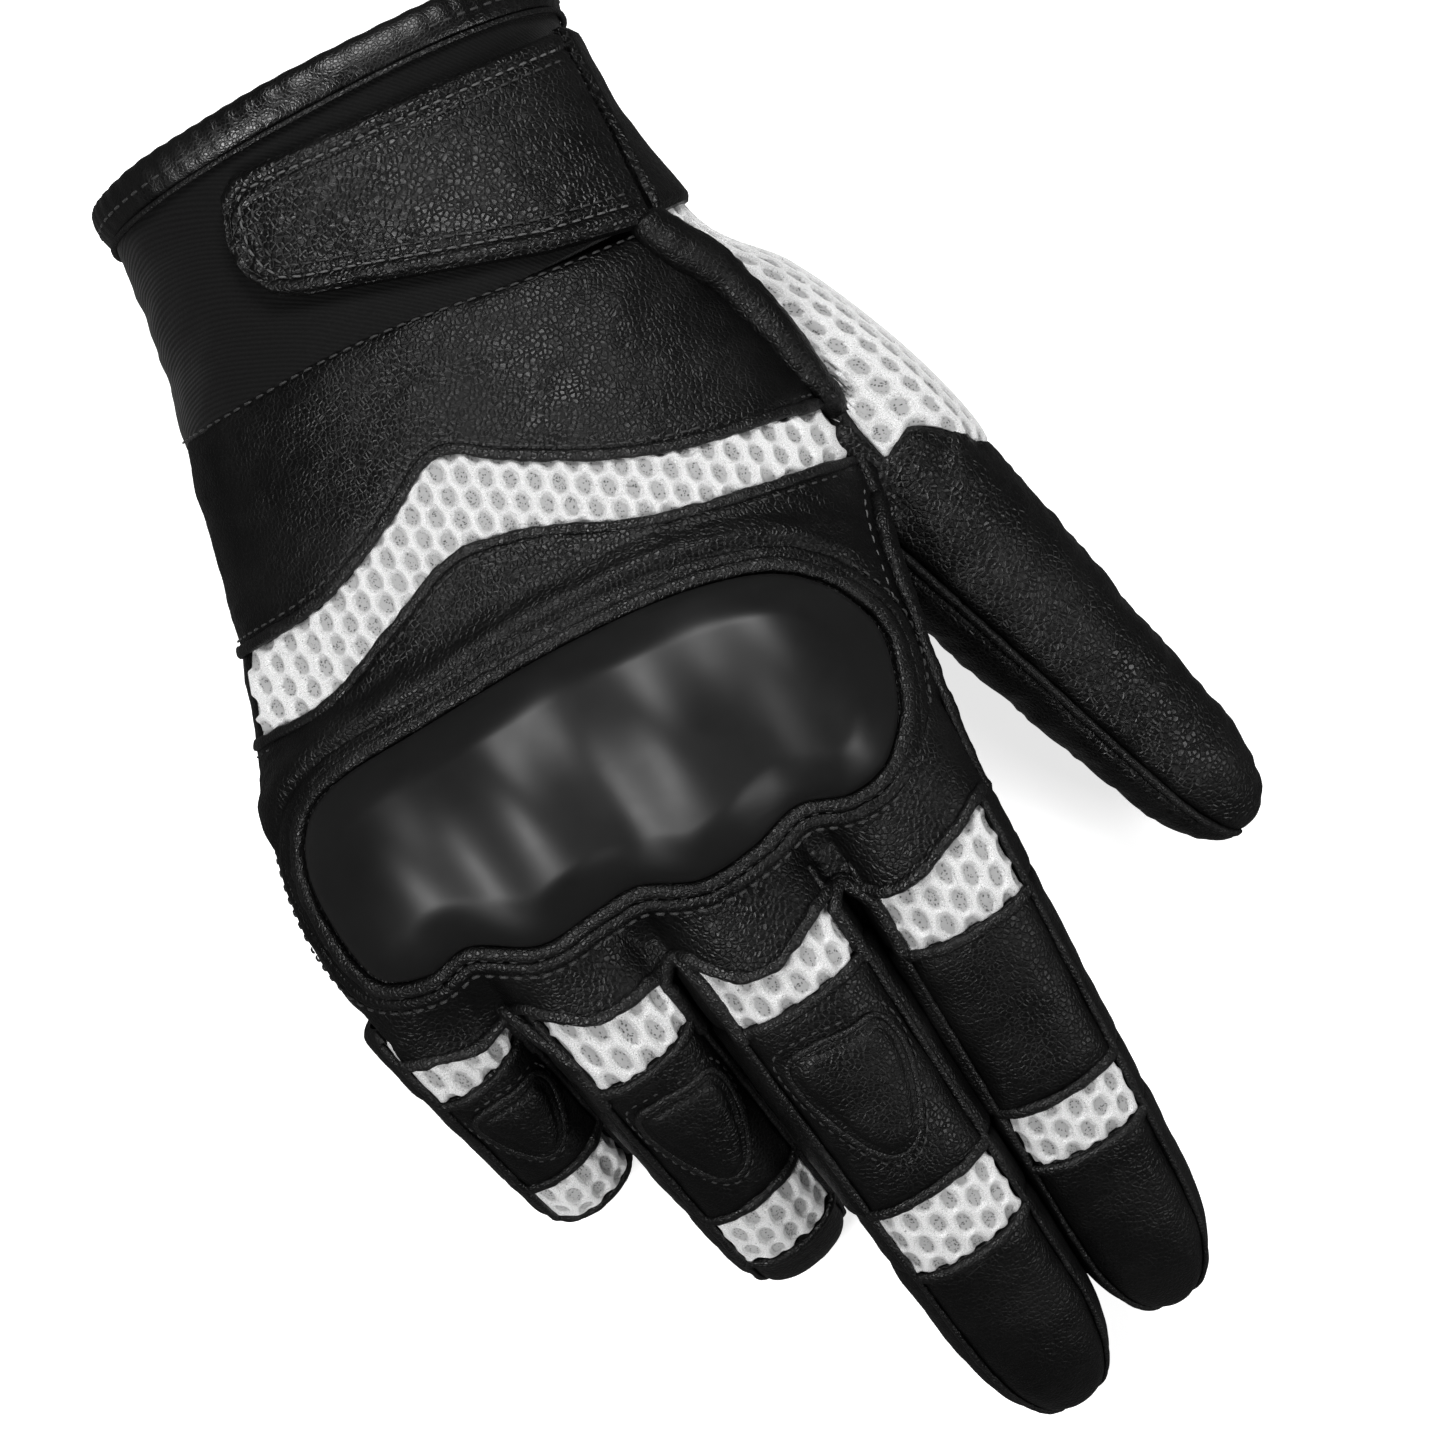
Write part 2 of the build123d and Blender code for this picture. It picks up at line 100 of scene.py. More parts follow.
# The seam that parts the back of the hand from the thumb side, as y, x points.
RADIAL_SEAM = [
    (30, -36), (41, -36.5), (53, -42.5), (62, -45.2), (84, -49.5), (90, -50.5), (97, -48), (116, -44.6),
    (143, -42),
]
GUARD_OUTLINE = [
    (56.5, 102), (59.3, 112), (57.3, 126), (50, 130), (42, 129), (32, 134), (22, 133.4), (14, 133),
    (4.5, 136.8), (-5, 136.2), (-14.5, 133.6), (-23, 136), (-30.5, 134), (-36.5, 126), (-38.5, 113),
    (-31, 101), (-16, 95.5), (7, 93.8), (33, 95), (49, 96.5),
]
CUFF_LENGTH = 39.5
MESH_PITCH = (3.6, 4.3)  # between columns of holes, and between holes in a column
MESH_HOLE = (1.06, 1.6)  # half width and half length of a hole
MESH_RELIEF = 0.7


def to_row(points):
    return (np.asarray(points, float) + SHIFT) * 0.001


# ---------------------------------------------------------------- numbers and curves


def smoothstep(a, b, x):
    t = np.clip((np.asarray(x, float) - a) / (b - a), 0.0, 1.0)
    return t * t * (3 - 2 * t)


def curve_through(xs, ys, x):
    """A smooth curve through points, without overshoot at its ends."""
    xs, ys = np.asarray(xs, float), np.asarray(ys, float)
    slope = np.gradient(ys, xs)
    x = np.clip(x, xs[0], xs[-1])
    i = np.clip(np.searchsorted(xs, x) - 1, 0, len(xs) - 2)
    h = xs[i + 1] - xs[i]
    t = (x - xs[i]) / h
    return (
        ys[i] * (2 * t**3 - 3 * t**2 + 1)
        + slope[i] * h * (t**3 - 2 * t**2 + t)
        + ys[i + 1] * (3 * t**2 - 2 * t**3)
        + slope[i + 1] * h * (t**3 - t**2)
    )


def line_y(line):
    """y as a function of x along a seam line seen from above."""
    xs, ys = zip(*line)
    return lambda x: curve_through(xs, ys, x)


def signed_power(v, p):
    return np.sign(v) * np.abs(v) ** p


def hash_grid(i, j, k, seed):
    h = (i * 374761393 + j * 668265263 + k * 2147483647 + seed * 1274126177) & 0xFFFFFFFF
    h = ((h ^ (h >> 13)) * 1274126177) & 0xFFFFFFFF
    return ((h ^ (h >> 16)) & 0xFFFF) / 65535.0


def noise(points, size, seed=0):
    """Smooth noise from -1 to 1 at points, with features of about size millimetres (one number or three)."""
    p = np.asarray(points, float) / np.asarray(size, float)
    base = np.floor(p).astype(np.int64)
    f = p - base
    f = f * f * (3 - 2 * f)
    total = np.zeros(p.shape[:-1])
    for corner in range(8):
        d = np.array([corner & 1, corner >> 1 & 1, corner >> 2 & 1])
        w = np.prod(np.where(d, f, 1 - f), axis=-1)
        total += w * hash_grid(base[..., 0] + d[0], base[..., 1] + d[1], base[..., 2] + d[2], seed)
    return total * 2 - 1


def crumple(points, size, seed=0, octaves=3):
    """Noise with finer noise on it."""
    total, amount = 0.0, 1.0
    for k in range(octaves):
        total = total + amount * noise(points, np.asarray(size, float) / 2**k, seed + k)
        amount *= 0.5
    return total


def resample(path, step):
    """Points a step apart along a polyline of n rows."""
    path = np.asarray(path, float)
    length = np.concatenate([[0], np.cumsum(np.linalg.norm(np.diff(path, axis=0), axis=1))])
    n = max(3, int(round(length[-1] / step)) + 1)
    at = np.linspace(0, length[-1], n)
    return np.stack([np.interp(at, length, path[:, c]) for c in range(path.shape[1])], axis=1)


def unit(v):
    return v / np.maximum(np.linalg.norm(v, axis=-1, keepdims=True), 1e-9)


def lattice(u, v):
    """Distance to the nearest mesh hole's centre, 1 at its rim."""
    a, b = MESH_PITCH
    ru, rv = MESH_HOLE
    best = None
    for shift_u, shift_v in ((0, 0), (a, b / 2)):
        du = (u + shift_u + a) % (2 * a) - a
        dv = (v + shift_v + b / 2) % b - b / 2
        d = np.sqrt((du / ru) ** 2 + (dv / rv) ** 2)
        best = d if best is None else np.minimum(best, d)
    return best


# ---------------------------------------------------------------- surfaces the panels lie on


def palm_section(y):
    return [curve_through(PALM[:, 0], PALM[:, c], y) for c in range(1, 7)]


def palm_raw(y, angle):
    """A point of the hand's surface: angle 0 on the little-finger side, 90 degrees on its back."""
    cx, cz, hw, hh, yaw, tilt = palm_section(y)
    dx = hw * signed_power(np.cos(angle), 2 / PALM_POWER)
    dz = hh * signed_power(np.sin(angle), 2 / PALM_POWER)
    out_y = y - dz * np.tan(np.radians(tilt)) - dx * np.tan(np.radians(yaw))
    return np.stack([cx + dx, out_y, cz + dz], axis=-1)


def with_normals(surface, a, b, outward):
    """Points of surface(a, b) and their unit normals, pointing away from outward(a, b)."""
    e = 1e-3
    p = surface(a, b)
    du = surface(a + e * 30, b) - surface(a - e * 30, b)
    dv = surface(a, b + e) - surface(a, b - e)
    n = unit(np.cross(du, dv))
    inside = outward(a, b)
    flip = np.sum(n * (p - inside), axis=-1) < 0
    n[flip] *= -1
    return p, n


def palm_middle(y, angle):
    cx, cz = palm_section(y)[:2]
    return np.stack([cx + 0 * angle, y + 0 * angle, cz + 0 * angle], axis=-1)


def palm_at(y, angle, lift=0.0):
    p, n = with_normals(palm_raw, y, angle, palm_middle)
    lift = np.asarray(lift)
    return p + n * lift[..., None] if lift.ndim else p + n * lift, n


def angle_of_x(x, y):
    """Angle on the back of the hand at which the surface has this x."""
    cx, _, hw = palm_section(y)[:3]
    c = np.clip((x - cx) / hw, -1, 1)
    return np.arccos(signed_power(c, PALM_POWER / 2))


def top_point(x, y, lift=0.0):
    """The point of the back of the hand above x, y and its normal."""
    x, y = np.asarray(x, float), np.asarray(y, float)
    ys = y.copy()
    for _ in range(8):
        angle = angle_of_x(x, ys)
        ys = ys + (y - palm_raw(ys, angle)[..., 1])
    angle = np.clip(angle_of_x(x, ys), 0.02, pi - 0.02)
    return palm_at(ys, angle, lift)


def heading(lean, pitch):
    """Unit vector along a digit, for pitches in an array."""
    a, p = radians(lean), np.radians(pitch)
    return np.stack([-sin(a) * np.cos(p), cos(a) * np.cos(p), -np.sin(p)], axis=-1)


class Digit:
    """A finger or thumb: its centreline, and its surface by length s from the root and angle round it.

    Angle 0 is on the thumb side, 90 degrees on the back, 180 on the little-finger side.
    """

    def __init__(self, name):
        d = DIGITS[name]
        self.name, self.lean = name, d["lean"]
        self.base, self.first, self.second, self.tip = d["run"]
        self.s1 = self.base  # first segment starts
        self.s2 = self.s1 + self.first  # tip band starts
        self.s3 = self.s2 + self.second  # tip starts
        self.s4 = self.s3 + self.tip
        self.width, self.height = d["width"], d["height"]
        a = radians(self.lean)
        self.side = np.array([-cos(a), -sin(a), 0.0])
        p0, p1, p2 = d["pitch"]
        self.knots = ([-60, 0, self.s1, self.s2, self.s3, 200], [p0, p0, p1, p1, p2, p2])
        s = np.arange(-60, 200, 0.25)
        step = heading(self.lean, self.pitch(s + 0.125)) * 0.25
        line = np.concatenate([[np.zeros(3)], np.cumsum(step, axis=0)[:-1]])
        zero = np.array([np.interp(0, s, line[:, c]) for c in range(3)])
        self.line_s, self.line = s, line - zero + np.array(d["root"])
        self.taper_end = self.s3 + self.tip * 0.45

    def pitch(self, s):
        return np.interp(s, *self.knots)

    def frame(self, s):
        centre = np.stack([np.interp(s, self.line_s, self.line[:, c]) for c in range(3)], axis=-1)
        along = heading(self.lean, self.pitch(s))
        up = np.cross(along, self.side)
        return centre, along, up

    def size(self, s):
        share = np.clip(s / self.taper_end, 0, 1)
        w = self.width[0] + (self.width[1] - self.width[0]) * share
        h = self.height[0] + (self.height[1] - self.height[0]) * share
        u = np.clip((s - (self.s3 + 0.34 * self.tip)) / (0.66 * self.tip), 0, 1)
        cap = (1 - u**2.3) ** (1 / 2.3)
        return w * cap, h * cap

    def raw(self, s, angle):
        centre, _, up = self.frame(s)
        w, h = self.size(s)
        c = signed_power(np.cos(angle), 2 / FINGER_POWER) * w
        v = signed_power(np.sin(angle), 2 / FINGER_POWER) * h
        return centre + self.side * c[..., None] + up * v[..., None]

    def middle(self, s, angle):
        return self.frame(s - 1.5)[0] + 0 * angle[..., None]

    def at(self, s, angle, lift=0.0):
        s, angle = np.broadcast_arrays(np.asarray(s, float), np.asarray(angle, float))
        p, n = with_normals(self.raw, s, angle, self.middle)
        lift = np.asarray(lift, float)
        return p + n * lift[..., None] if lift.ndim else p + n * lift, n


digits = {name: Digit(name) for name in DIGITS}

# ---------------------------------------------------------------- meshes

made = []


def add_mesh(name, verts, faces, material, uvs=None):
    """A new smooth-shaded mesh object from points in the wrist frame."""
    mesh = bpy.data.meshes.new(name)
    mesh.from_pydata(to_row(verts).tolist(), [], [list(map(int, f)) for f in faces])
    if uvs is not None:
        layer = mesh.uv_layers.new(name="mm")
        index = np.zeros(len(mesh.loops), int)
        mesh.loops.foreach_get("vertex_index", index)
        layer.data.foreach_set("uv", np.asarray(uvs, float)[index].ravel())
    mesh.polygons.foreach_set("use_smooth", [True] * len(mesh.polygons))
    mesh.materials.append(material)
    mesh.update()
    obj = bpy.data.objects.new(name, mesh)
    bpy.context.scene.collection.objects.link(obj)
    made.append(obj)
    return obj


def quads(n, m, start=0, wrap=False, flip=False):
    """Faces of an n by m grid of points; wrap closes the second direction."""
    i, j = np.meshgrid(np.arange(n - 1), np.arange(m if wrap else m - 1), indexing="ij")
    i, j = i.ravel(), j.ravel()
    k = (j + 1) % m
    faces = np.stack([i * m + j, i * m + k, (i + 1) * m + k, (i + 1) * m + j], axis=1) + start
    return faces[:, ::-1] if flip else faces


def orient(points, normals):
    """True if quads() of this grid would face along the normals."""
    a = points[1, 1] - points[0, 0]
    b = points[0, 1] - points[1, 0]
    return np.dot(np.cross(b, a), normals[0, 0]) > 0


def panel(name, points, normals, material, uv=None, thick=WALL):
    """A sheet with a grid of outer points, given thickness on its inside and closed round its edge."""
    n, m = points.shape[:2]
    inner = points - normals * thick
    flip = not orient(points, normals)
    faces = [quads(n, m, flip=flip), quads(n, m, start=n * m, flip=not flip)]
    rim = [(0, j) for j in range(m)] + [(i, m - 1) for i in range(1, n)]
    rim += [(n - 1, j) for j in range(m - 2, -1, -1)] + [(i, 0) for i in range(n - 2, 0, -1)]
    ids = np.array([i * m + j for i, j in rim])
    k = len(ids)
    top = 2 * n * m + np.arange(k)
    sides = np.stack([top, top + k, np.roll(top, -1) + k, np.roll(top, -1)], axis=1)
    faces.append(sides if not flip else sides[:, ::-1])
    flat, flat_inner = points.reshape(-1, 3), inner.reshape(-1, 3)
    verts = np.concatenate([flat, flat_inner, flat[ids], flat_inner[ids]])
    if uv is not None:
        uv = uv.reshape(-1, 2)
        uv = np.concatenate([uv, uv, uv[ids], uv[ids]])
    return add_mesh(name, verts, np.concatenate(faces), material, uv)


def grid_normals(points, toward):
    """Unit normals of a grid of points, on the side that toward is on."""
    n = unit(np.cross(np.gradient(points, axis=0), np.gradient(points, axis=1)))
    flip = np.sum(n * toward, axis=-1) < 0
    n[flip] *= -1
    return n


def edge_distance(points):
    """Distance in mm of each grid point to the grid's four edges along its rows and columns."""
    rows = np.linalg.norm(np.diff(points, axis=0), axis=-1)
    cols = np.linalg.norm(np.diff(points, axis=1), axis=-1)
    down = np.concatenate([np.zeros((1, points.shape[1])), np.cumsum(rows, axis=0)])
    across = np.concatenate([np.zeros((points.shape[0], 1)), np.cumsum(cols, axis=1)], axis=1)
    return down, down[-1:] - down, across, across[:, -1:] - across


def tube(name, path, normals, half_w, half_h, material, closed=False, rough=0.0, seed=0, flat=2.6):
    """A welt or piping along a path: a rounded strip half_w to each side and half_h above and below."""
    path, normals = np.asarray(path), unit(np.asarray(normals))
    if closed:
        tangent = np.roll(path, -1, axis=0) - np.roll(path, 1, axis=0)
    else:
        tangent = np.gradient(path, axis=0)
    tangent = unit(tangent)
    across = unit(np.cross(tangent, normals))
    up = np.cross(across, tangent)
    k = 14
    angle = np.linspace(0, 2 * pi, k, endpoint=False)
    ring_x = signed_power(np.cos(angle), 2 / flat)
    ring_z = signed_power(np.sin(angle), 2 / flat)
    n = len(path)
    w = np.broadcast_to(np.asarray(half_w, float), n).copy()
    h = np.broadcast_to(np.asarray(half_h, float), n).copy()
    if not closed:
        ends = np.minimum(np.arange(n), np.arange(n)[::-1])
        close = smoothstep(-1, 2, ends)
        w, h = w * (0.5 + 0.5 * close), h * (0.5 + 0.5 * close)
    points = (
        path[:, None]
        + across[:, None] * (ring_x[None] * w[:, None])[..., None]
        + up[:, None] * (ring_z[None] * h[:, None])[..., None]
    )
    if rough:
        bump = crumple(points, (2.2, 2.2, 2.2), seed) * rough
        points = points + unit(points - path[:, None]) * bump[..., None]
    faces = quads(n, k, wrap=True)
    verts = points.reshape(-1, 3)
    if closed:
        last = quads(2, k, wrap=True)
        last = np.where(last < k, last + (n - 1) * k, last - k)
        faces = np.concatenate([faces, last])
        all_faces = [list(f) for f in faces]
    else:
        all_faces = [list(f) for f in faces] + [list(range(k)), list(range(n * k - 1, (n - 1) * k - 1, -1))]
    return add_mesh(name, verts, all_faces, material)


def stitch_row(name, path, normals, material, pitch=2.5, length=1.75, radius=0.24, sink=0.05):
    """Thread stitches along a seam, each a small bowed bead whose ends dive into the leather."""
    path, normals = np.asarray(path, float), unit(np.asarray(normals, float))
    both = resample(np.concatenate([path, normals], axis=1), 0.25)
    count = int(len(both) * 0.25 / pitch)
    k, rings = 6, 6
    angle = np.linspace(0, 2 * pi, k, endpoint=False)
    verts, faces = [], []
    for c in range(count):
        start = int((c + 0.15) * pitch / 0.25)
        at = np.clip(start + np.linspace(0, length / 0.25, rings), 0, len(both) - 1).astype(int)
        centre, up = both[at, :3], unit(both[at, 3:])
        tangent = unit(np.gradient(centre, axis=0) + 1e-9)
        across = unit(np.cross(tangent, up))
        t = np.linspace(-1, 1, rings)
        centre = centre + up * ((1 - t**2) * radius * 0.9 - sink - radius * 0.4)[:, None]
        r = radius * np.sqrt(np.clip(1.05 - t**4, 0.05, 1))
        ring = (
            centre[:, None]
            + across[:, None] * (np.cos(angle)[None] * r[:, None])[..., None]
            + up[:, None] * (np.sin(angle)[None] * r[:, None] * 0.8)[..., None]
        )
        base = len(verts) * rings * k
        verts.append(ring.reshape(-1, 3))
        faces += [list(f + base) for f in quads(rings, k, wrap=True)]
        faces += [[base + j for j in range(k)], [base + (rings - 1) * k + j for j in range(k)][::-1]]
    return add_mesh(name, np.concatenate(verts), faces, material)


# ---------------------------------------------------------------- materials


class Nodes:
    """A material's node tree with short ways to add and join nodes."""

    def __init__(self, name, **settings):
        self.material = bpy.data.materials.new(name)
        self.material.use_nodes = True
        self.tree = self.material.node_tree
        self.tree.nodes.clear()
        self.shader = self.add("ShaderNodeBsdfPrincipled")
        out = self.add("ShaderNodeOutputMaterial")
        self.tree.links.new(self.shader.outputs[0], out.inputs[0])
        for key, value in settings.items():
            self.shader.inputs[key.replace("_", " ")].default_value = value

    def add(self, kind, inputs=None, **props):
        node = self.tree.nodes.new(kind)
        for key, value in props.items():
            setattr(node, key, value)
        for key, value in (inputs or {}).items():
            self.put(node.inputs[key], value)
        return node

    def put(self, socket, value):
        if hasattr(value, "links") or hasattr(value, "is_output"):
            self.tree.links.new(value, socket)
        else:
            socket.default_value = value

    def set(self, key, value):
        self.put(self.shader.inputs[key], value)

    def math(self, operation, *values):
        node = self.add("ShaderNodeMath", operation=operation)
        for socket, value in zip(node.inputs, values):
            self.put(socket, value)
        return node.outputs[0]

    def ramp(self, value, low, high, out_low=0.0, out_high=1.0):
        node = self.add("ShaderNodeMapRange", {0: value, 1: low, 2: high, 3: out_low, 4: out_high})
        return node.outputs[0]

    def mix(self, share, a, b):
        node = self.add("ShaderNodeMix", data_type="RGBA")
        self.put(node.inputs[0], share)
        self.put(node.inputs[6], a)
        self.put(node.inputs[7], b)
        return node.outputs[2]

    def object_space(self, scale=(1, 1, 1)):
        place = self.add("ShaderNodeTexCoord").outputs["Object"]
        if scale == (1, 1, 1):
            return place
        return self.add("ShaderNodeVectorMath", {0: place, 1: scale}, operation="MULTIPLY").outputs[0]

    def noise(self, scale, detail=3.0, rough=0.55, vector=None):
        vector = vector or self.object_space()
        inputs = {"Vector": vector, "Scale": scale, "Detail": detail, "Roughness": rough}
        node = self.add("ShaderNodeTexNoise", inputs)
        return node.outputs[0]

    def cells(self, scale, feature="DISTANCE_TO_EDGE", vector=None):
        vector = vector or self.object_space()
        node = self.add("ShaderNodeTexVoronoi", {"Vector": vector, "Scale": scale}, feature=feature)
        return node.outputs["Distance"]

    def bump(self, *layers):
        """Bumps on bumps: each layer is (height, strength, distance in mm)."""
        normal = None
        for height, strength, distance in layers:
            inputs = {"Height": height, "Strength": strength, "Distance": distance * 0.001}
            node = self.add("ShaderNodeBump", inputs)
            if normal is not None:
                self.put(node.inputs["Normal"], normal)
            normal = node.outputs[0]
        self.set("Normal", normal)


def grey(v, warm=0.0):
    return (v * (1 + warm), v, v * (1 - warm), 1.0)


def leather(name, tone=0.002, rough=0.34, grain=1150.0, depth=1.1, shine=0.2):
    """Goat leather: fine pebbles with creases between them, patchy polish and a few pores."""
    m = Nodes(name, Specular_IOR_Level=shine)
    wander = m.noise(260, 2)
    pebbles = m.cells(grain)
    crease = m.ramp(pebbles, 0.0, 0.22)
    small = m.cells(grain * 2.3, feature="SMOOTH_F1")
    fine = m.noise(grain * 3.2, 3, 0.6)
    patches = m.noise(70, 3, 0.6)
    # Painted shade: the creases between the pebbles are coloured darker, as the shade in them would look.
    colour = m.mix(m.ramp(crease, 0, 1, 0.35, 1.0), grey(tone * 0.45), grey(tone))
    colour = m.mix(m.ramp(patches, 0.45, 0.7), colour, grey(tone * 1.5, 0.02))
    m.set("Base Color", colour)
    polish = m.ramp(patches, 0.3, 0.7, rough - 0.07, rough + 0.1)
    worn = m.math("ADD", polish, m.ramp(fine, 0.3, 0.7, -0.06, 0.06))
    m.set("Roughness", m.math("ADD", worn, m.ramp(crease, 0, 1, 0.16, 0.0)))
    m.bump(
        (wander, 0.25 * depth, 0.6), (crease, 0.55 * depth, 0.12), (small, 0.25 * depth, 0.06),
        (fine, 0.3 * depth, 0.04),
    )
    return m.material


def twill(name, tone=0.003):
    """Fine stretch twill: slanting ribs with soft fibres."""
    m = Nodes(name, Specular_IOR_Level=0.12, Sheen_Weight=0.04, Sheen_Roughness=0.5)
    place = m.object_space()
    wave = m.add(
        "ShaderNodeTexWave",
        {"Vector": place, "Scale": 620.0, "Distortion": 1.2, "Detail": 2.0, "Detail Scale": 3.0},
        bands_direction="DIAGONAL",
    ).outputs[0]
    fibre = m.noise(2600, 3, 0.6)
    m.set("Base Color", m.mix(wave, grey(tone * 0.5), grey(tone * 1.3)))
    m.set("Roughness", m.ramp(fibre, 0.3, 0.7, 0.72, 0.9))
    m.bump((wave, 0.5, 0.14), (fibre, 0.5, 0.08))
    return m.material


def moulded(name):
    """Soft-touch moulded plastic: satin, with a very fine spark-eroded texture and faint handling marks."""
    m = Nodes(name, Specular_IOR_Level=0.32, Coat_Weight=0.03, Coat_Roughness=0.45)
    fine = m.noise(5200, 2, 0.7)
    clouds = m.noise(90, 3, 0.6)
    m.set("Base Color", m.mix(clouds, grey(0.003), grey(0.0055)))
    m.set("Roughness", m.ramp(clouds, 0.3, 0.7, 0.40, 0.47))
    m.bump((clouds, 0.05, 0.6), (fine, 0.22, 0.03))
    return m.material


def spacer_mesh(name):
    """White spacer mesh: open oval holes over a grey knit, from the panel's own millimetre coordinates."""
    m = Nodes(name, Specular_IOR_Level=0.3, Sheen_Weight=0.2, Sheen_Roughness=0.6)
    uv = m.add("ShaderNodeUVMap", uv_map="mm").outputs[0]
    wobble = m.add("ShaderNodeTexNoise", {"Vector": uv, "Scale": 1.1, "Detail": 2.0}).outputs["Color"]
    moved = m.add("ShaderNodeVectorMath", {0: wobble, 1: (0.5, 0.5, 0.5)}, operation="SUBTRACT").outputs[0]
    moved = m.add("ShaderNodeVectorMath", {0: moved, 1: (0.7, 0.7, 0.0)}, operation="MULTIPLY").outputs[0]
    place = m.add("ShaderNodeVectorMath", {0: uv, 1: moved}, operation="ADD").outputs[0]
    split = m.add("ShaderNodeSeparateXYZ", {0: place})
    a, b = MESH_PITCH
    ru, rv = MESH_HOLE
    holes = []
    for shift_u, shift_v in ((0, 0), (a, b / 2)):
        parts = []
        for axis, shift, period, radius in ((0, shift_u, 2 * a, ru), (1, shift_v, b, rv)):
            value = m.math("ADD", split.outputs[axis], shift + period / 2)
            value = m.math("FLOORED_MODULO", value, period)
            value = m.math("DIVIDE", m.math("SUBTRACT", value, period / 2), radius)
            parts.append(m.math("MULTIPLY", value, value))
        holes.append(m.math("SQRT", m.math("ADD", *parts)))
    d = m.math("MINIMUM", *holes)
    open_share = m.ramp(d, 0.86, 1.12, 1.0, 0.0)
    threads = m.cells(2.6, vector=place)
    pin = m.ramp(threads, 0.02, 0.16)
    strands = m.noise(7.0, 4.0, 0.65, vector=place)
    knit = m.add("ShaderNodeTexVoronoi", {"Vector": place, "Scale": 2.2}, feature="F1").outputs[0]
    white = m.mix(m.ramp(strands, 0.36, 0.62), grey(0.36), grey(0.84))
    pinholes = m.math("MULTIPLY", m.ramp(m.add(
        "ShaderNodeTexVoronoi", {"Vector": place, "Scale": 1.9}).outputs[0], 0.10, 0.2, 1.0, 0.0), 0.75)
    white = m.mix(pinholes, white, grey(0.12))
    back = m.mix(m.ramp(knit, 0.16, 0.42), grey(0.035), grey(0.34))
    m.set("Base Color", m.mix(open_share, white, back))
    m.set("Roughness", 0.8)
    relief = m.ramp(d, 0.9, 1.5)
    m.bump((relief, 0.7, 0.5), (strands, 0.9, 0.16), (pin, 0.3, 0.1))
    return m.material


def thread(name, tone=0.05):
    """Sewing thread: fine twist along the stitch."""
    m = Nodes(name, Specular_IOR_Level=0.35, Sheen_Weight=0.08, Sheen_Roughness=0.4)
    twist = m.noise(4200, 2, 0.5)
    m.set("Base Color", m.mix(twist, grey(tone * 0.5), grey(tone * 1.6)))
    m.set("Roughness", m.ramp(twist, 0.3, 0.7, 0.5, 0.7))
    m.bump((twist, 0.6, 0.06))
    return m.material


def pile(name, tone):
    """Hook or loop tape: a dense short pile."""
    m = Nodes(name, Specular_IOR_Level=0.2, Sheen_Weight=0.08, Sheen_Roughness=0.5)
    loops = m.cells(900, feature="F1")
    m.set("Base Color", m.mix(m.ramp(loops, 0.1, 0.7), grey(tone), grey(tone * 0.3)))
    m.set("Roughness", m.ramp(loops, 0, 1, 0.75, 0.95))
    m.bump((loops, 1.0, 0.5))
    return m.material


BLACK = leather("leather_black")
SMOOTH = leather("leather_smooth", tone=0.002, rough=0.25, grain=1500, depth=0.5, shine=0.35)
FOLDED = leather("leather_folded", tone=0.003, rough=0.36, grain=1300, depth=1.4, shine=0.3)
COARSE = leather("leather_coarse", tone=0.002, rough=0.3, grain=1050, depth=1.5, shine=0.26)
PALM_SKIN = leather("leather_palm", tone=0.003, rough=0.45, grain=1000, depth=0.9, shine=0.2)
TWILL = twill("cuff_twill")
GUARD = moulded("guard_plastic")
MESH = spacer_mesh("white_mesh")
THREAD = thread("thread_black", tone=0.02)
# Painted highlight: a paler copy of the black thread, standing in for the light-grey glints on some rows of
# stitches.
PAINTED_HIGHLIGHT_THREAD = thread("thread_rubbed", tone=0.07)
HOOK = pile("hook_tape", 0.03)
LOOP = pile("loop_tape", 0.022)

# ---------------------------------------------------------------- panels of the hand


def hand_grid(near, far, angle_a, angle_b, n, m):
    """Section y and angle on a grid between two seam lines (y of x) and two angles (of y)."""
    t = np.linspace(0, 1, n)[:, None] * np.ones((1, m))
    s = np.linspace(0, 1, m)[None] * np.ones((n, 1))
    y = np.full((n, m), 60.0)
    for _ in range(14):
        a, b = angle_a(y), angle_b(y)
        angle = a + (b - a) * s
        p = palm_raw(y, angle)
        target = near(p[..., 0]) * (1 - t) + far(p[..., 0]) * t
        y = y + (target - p[..., 1]) * 0.8
    return y, angle


def constant(value):
    return lambda y: np.full_like(np.asarray(y, float), value)


seam_ys, seam_xs = zip(*RADIAL_SEAM)


def radial_angle(y):
    """Angle of the seam between the back of the hand and the thumb side."""
    return angle_of_x(curve_through(seam_ys, seam_xs, y), y)


def puffed(points, amount, width, edges=(1, 1, 1, 1), dip=0.0):
    """Lift of a sewn panel: full inside, falling over width to its seams."""
    distance = np.full(points.shape[:2], 1e9)
    for d, use in zip(edge_distance(points), edges):
        if use:
            distance = np.minimum(distance, d)
    t = np.clip(distance / width, 0, 1)
    return -dip + (amount + dip) * np.sqrt(1 - (1 - t) ** 2)


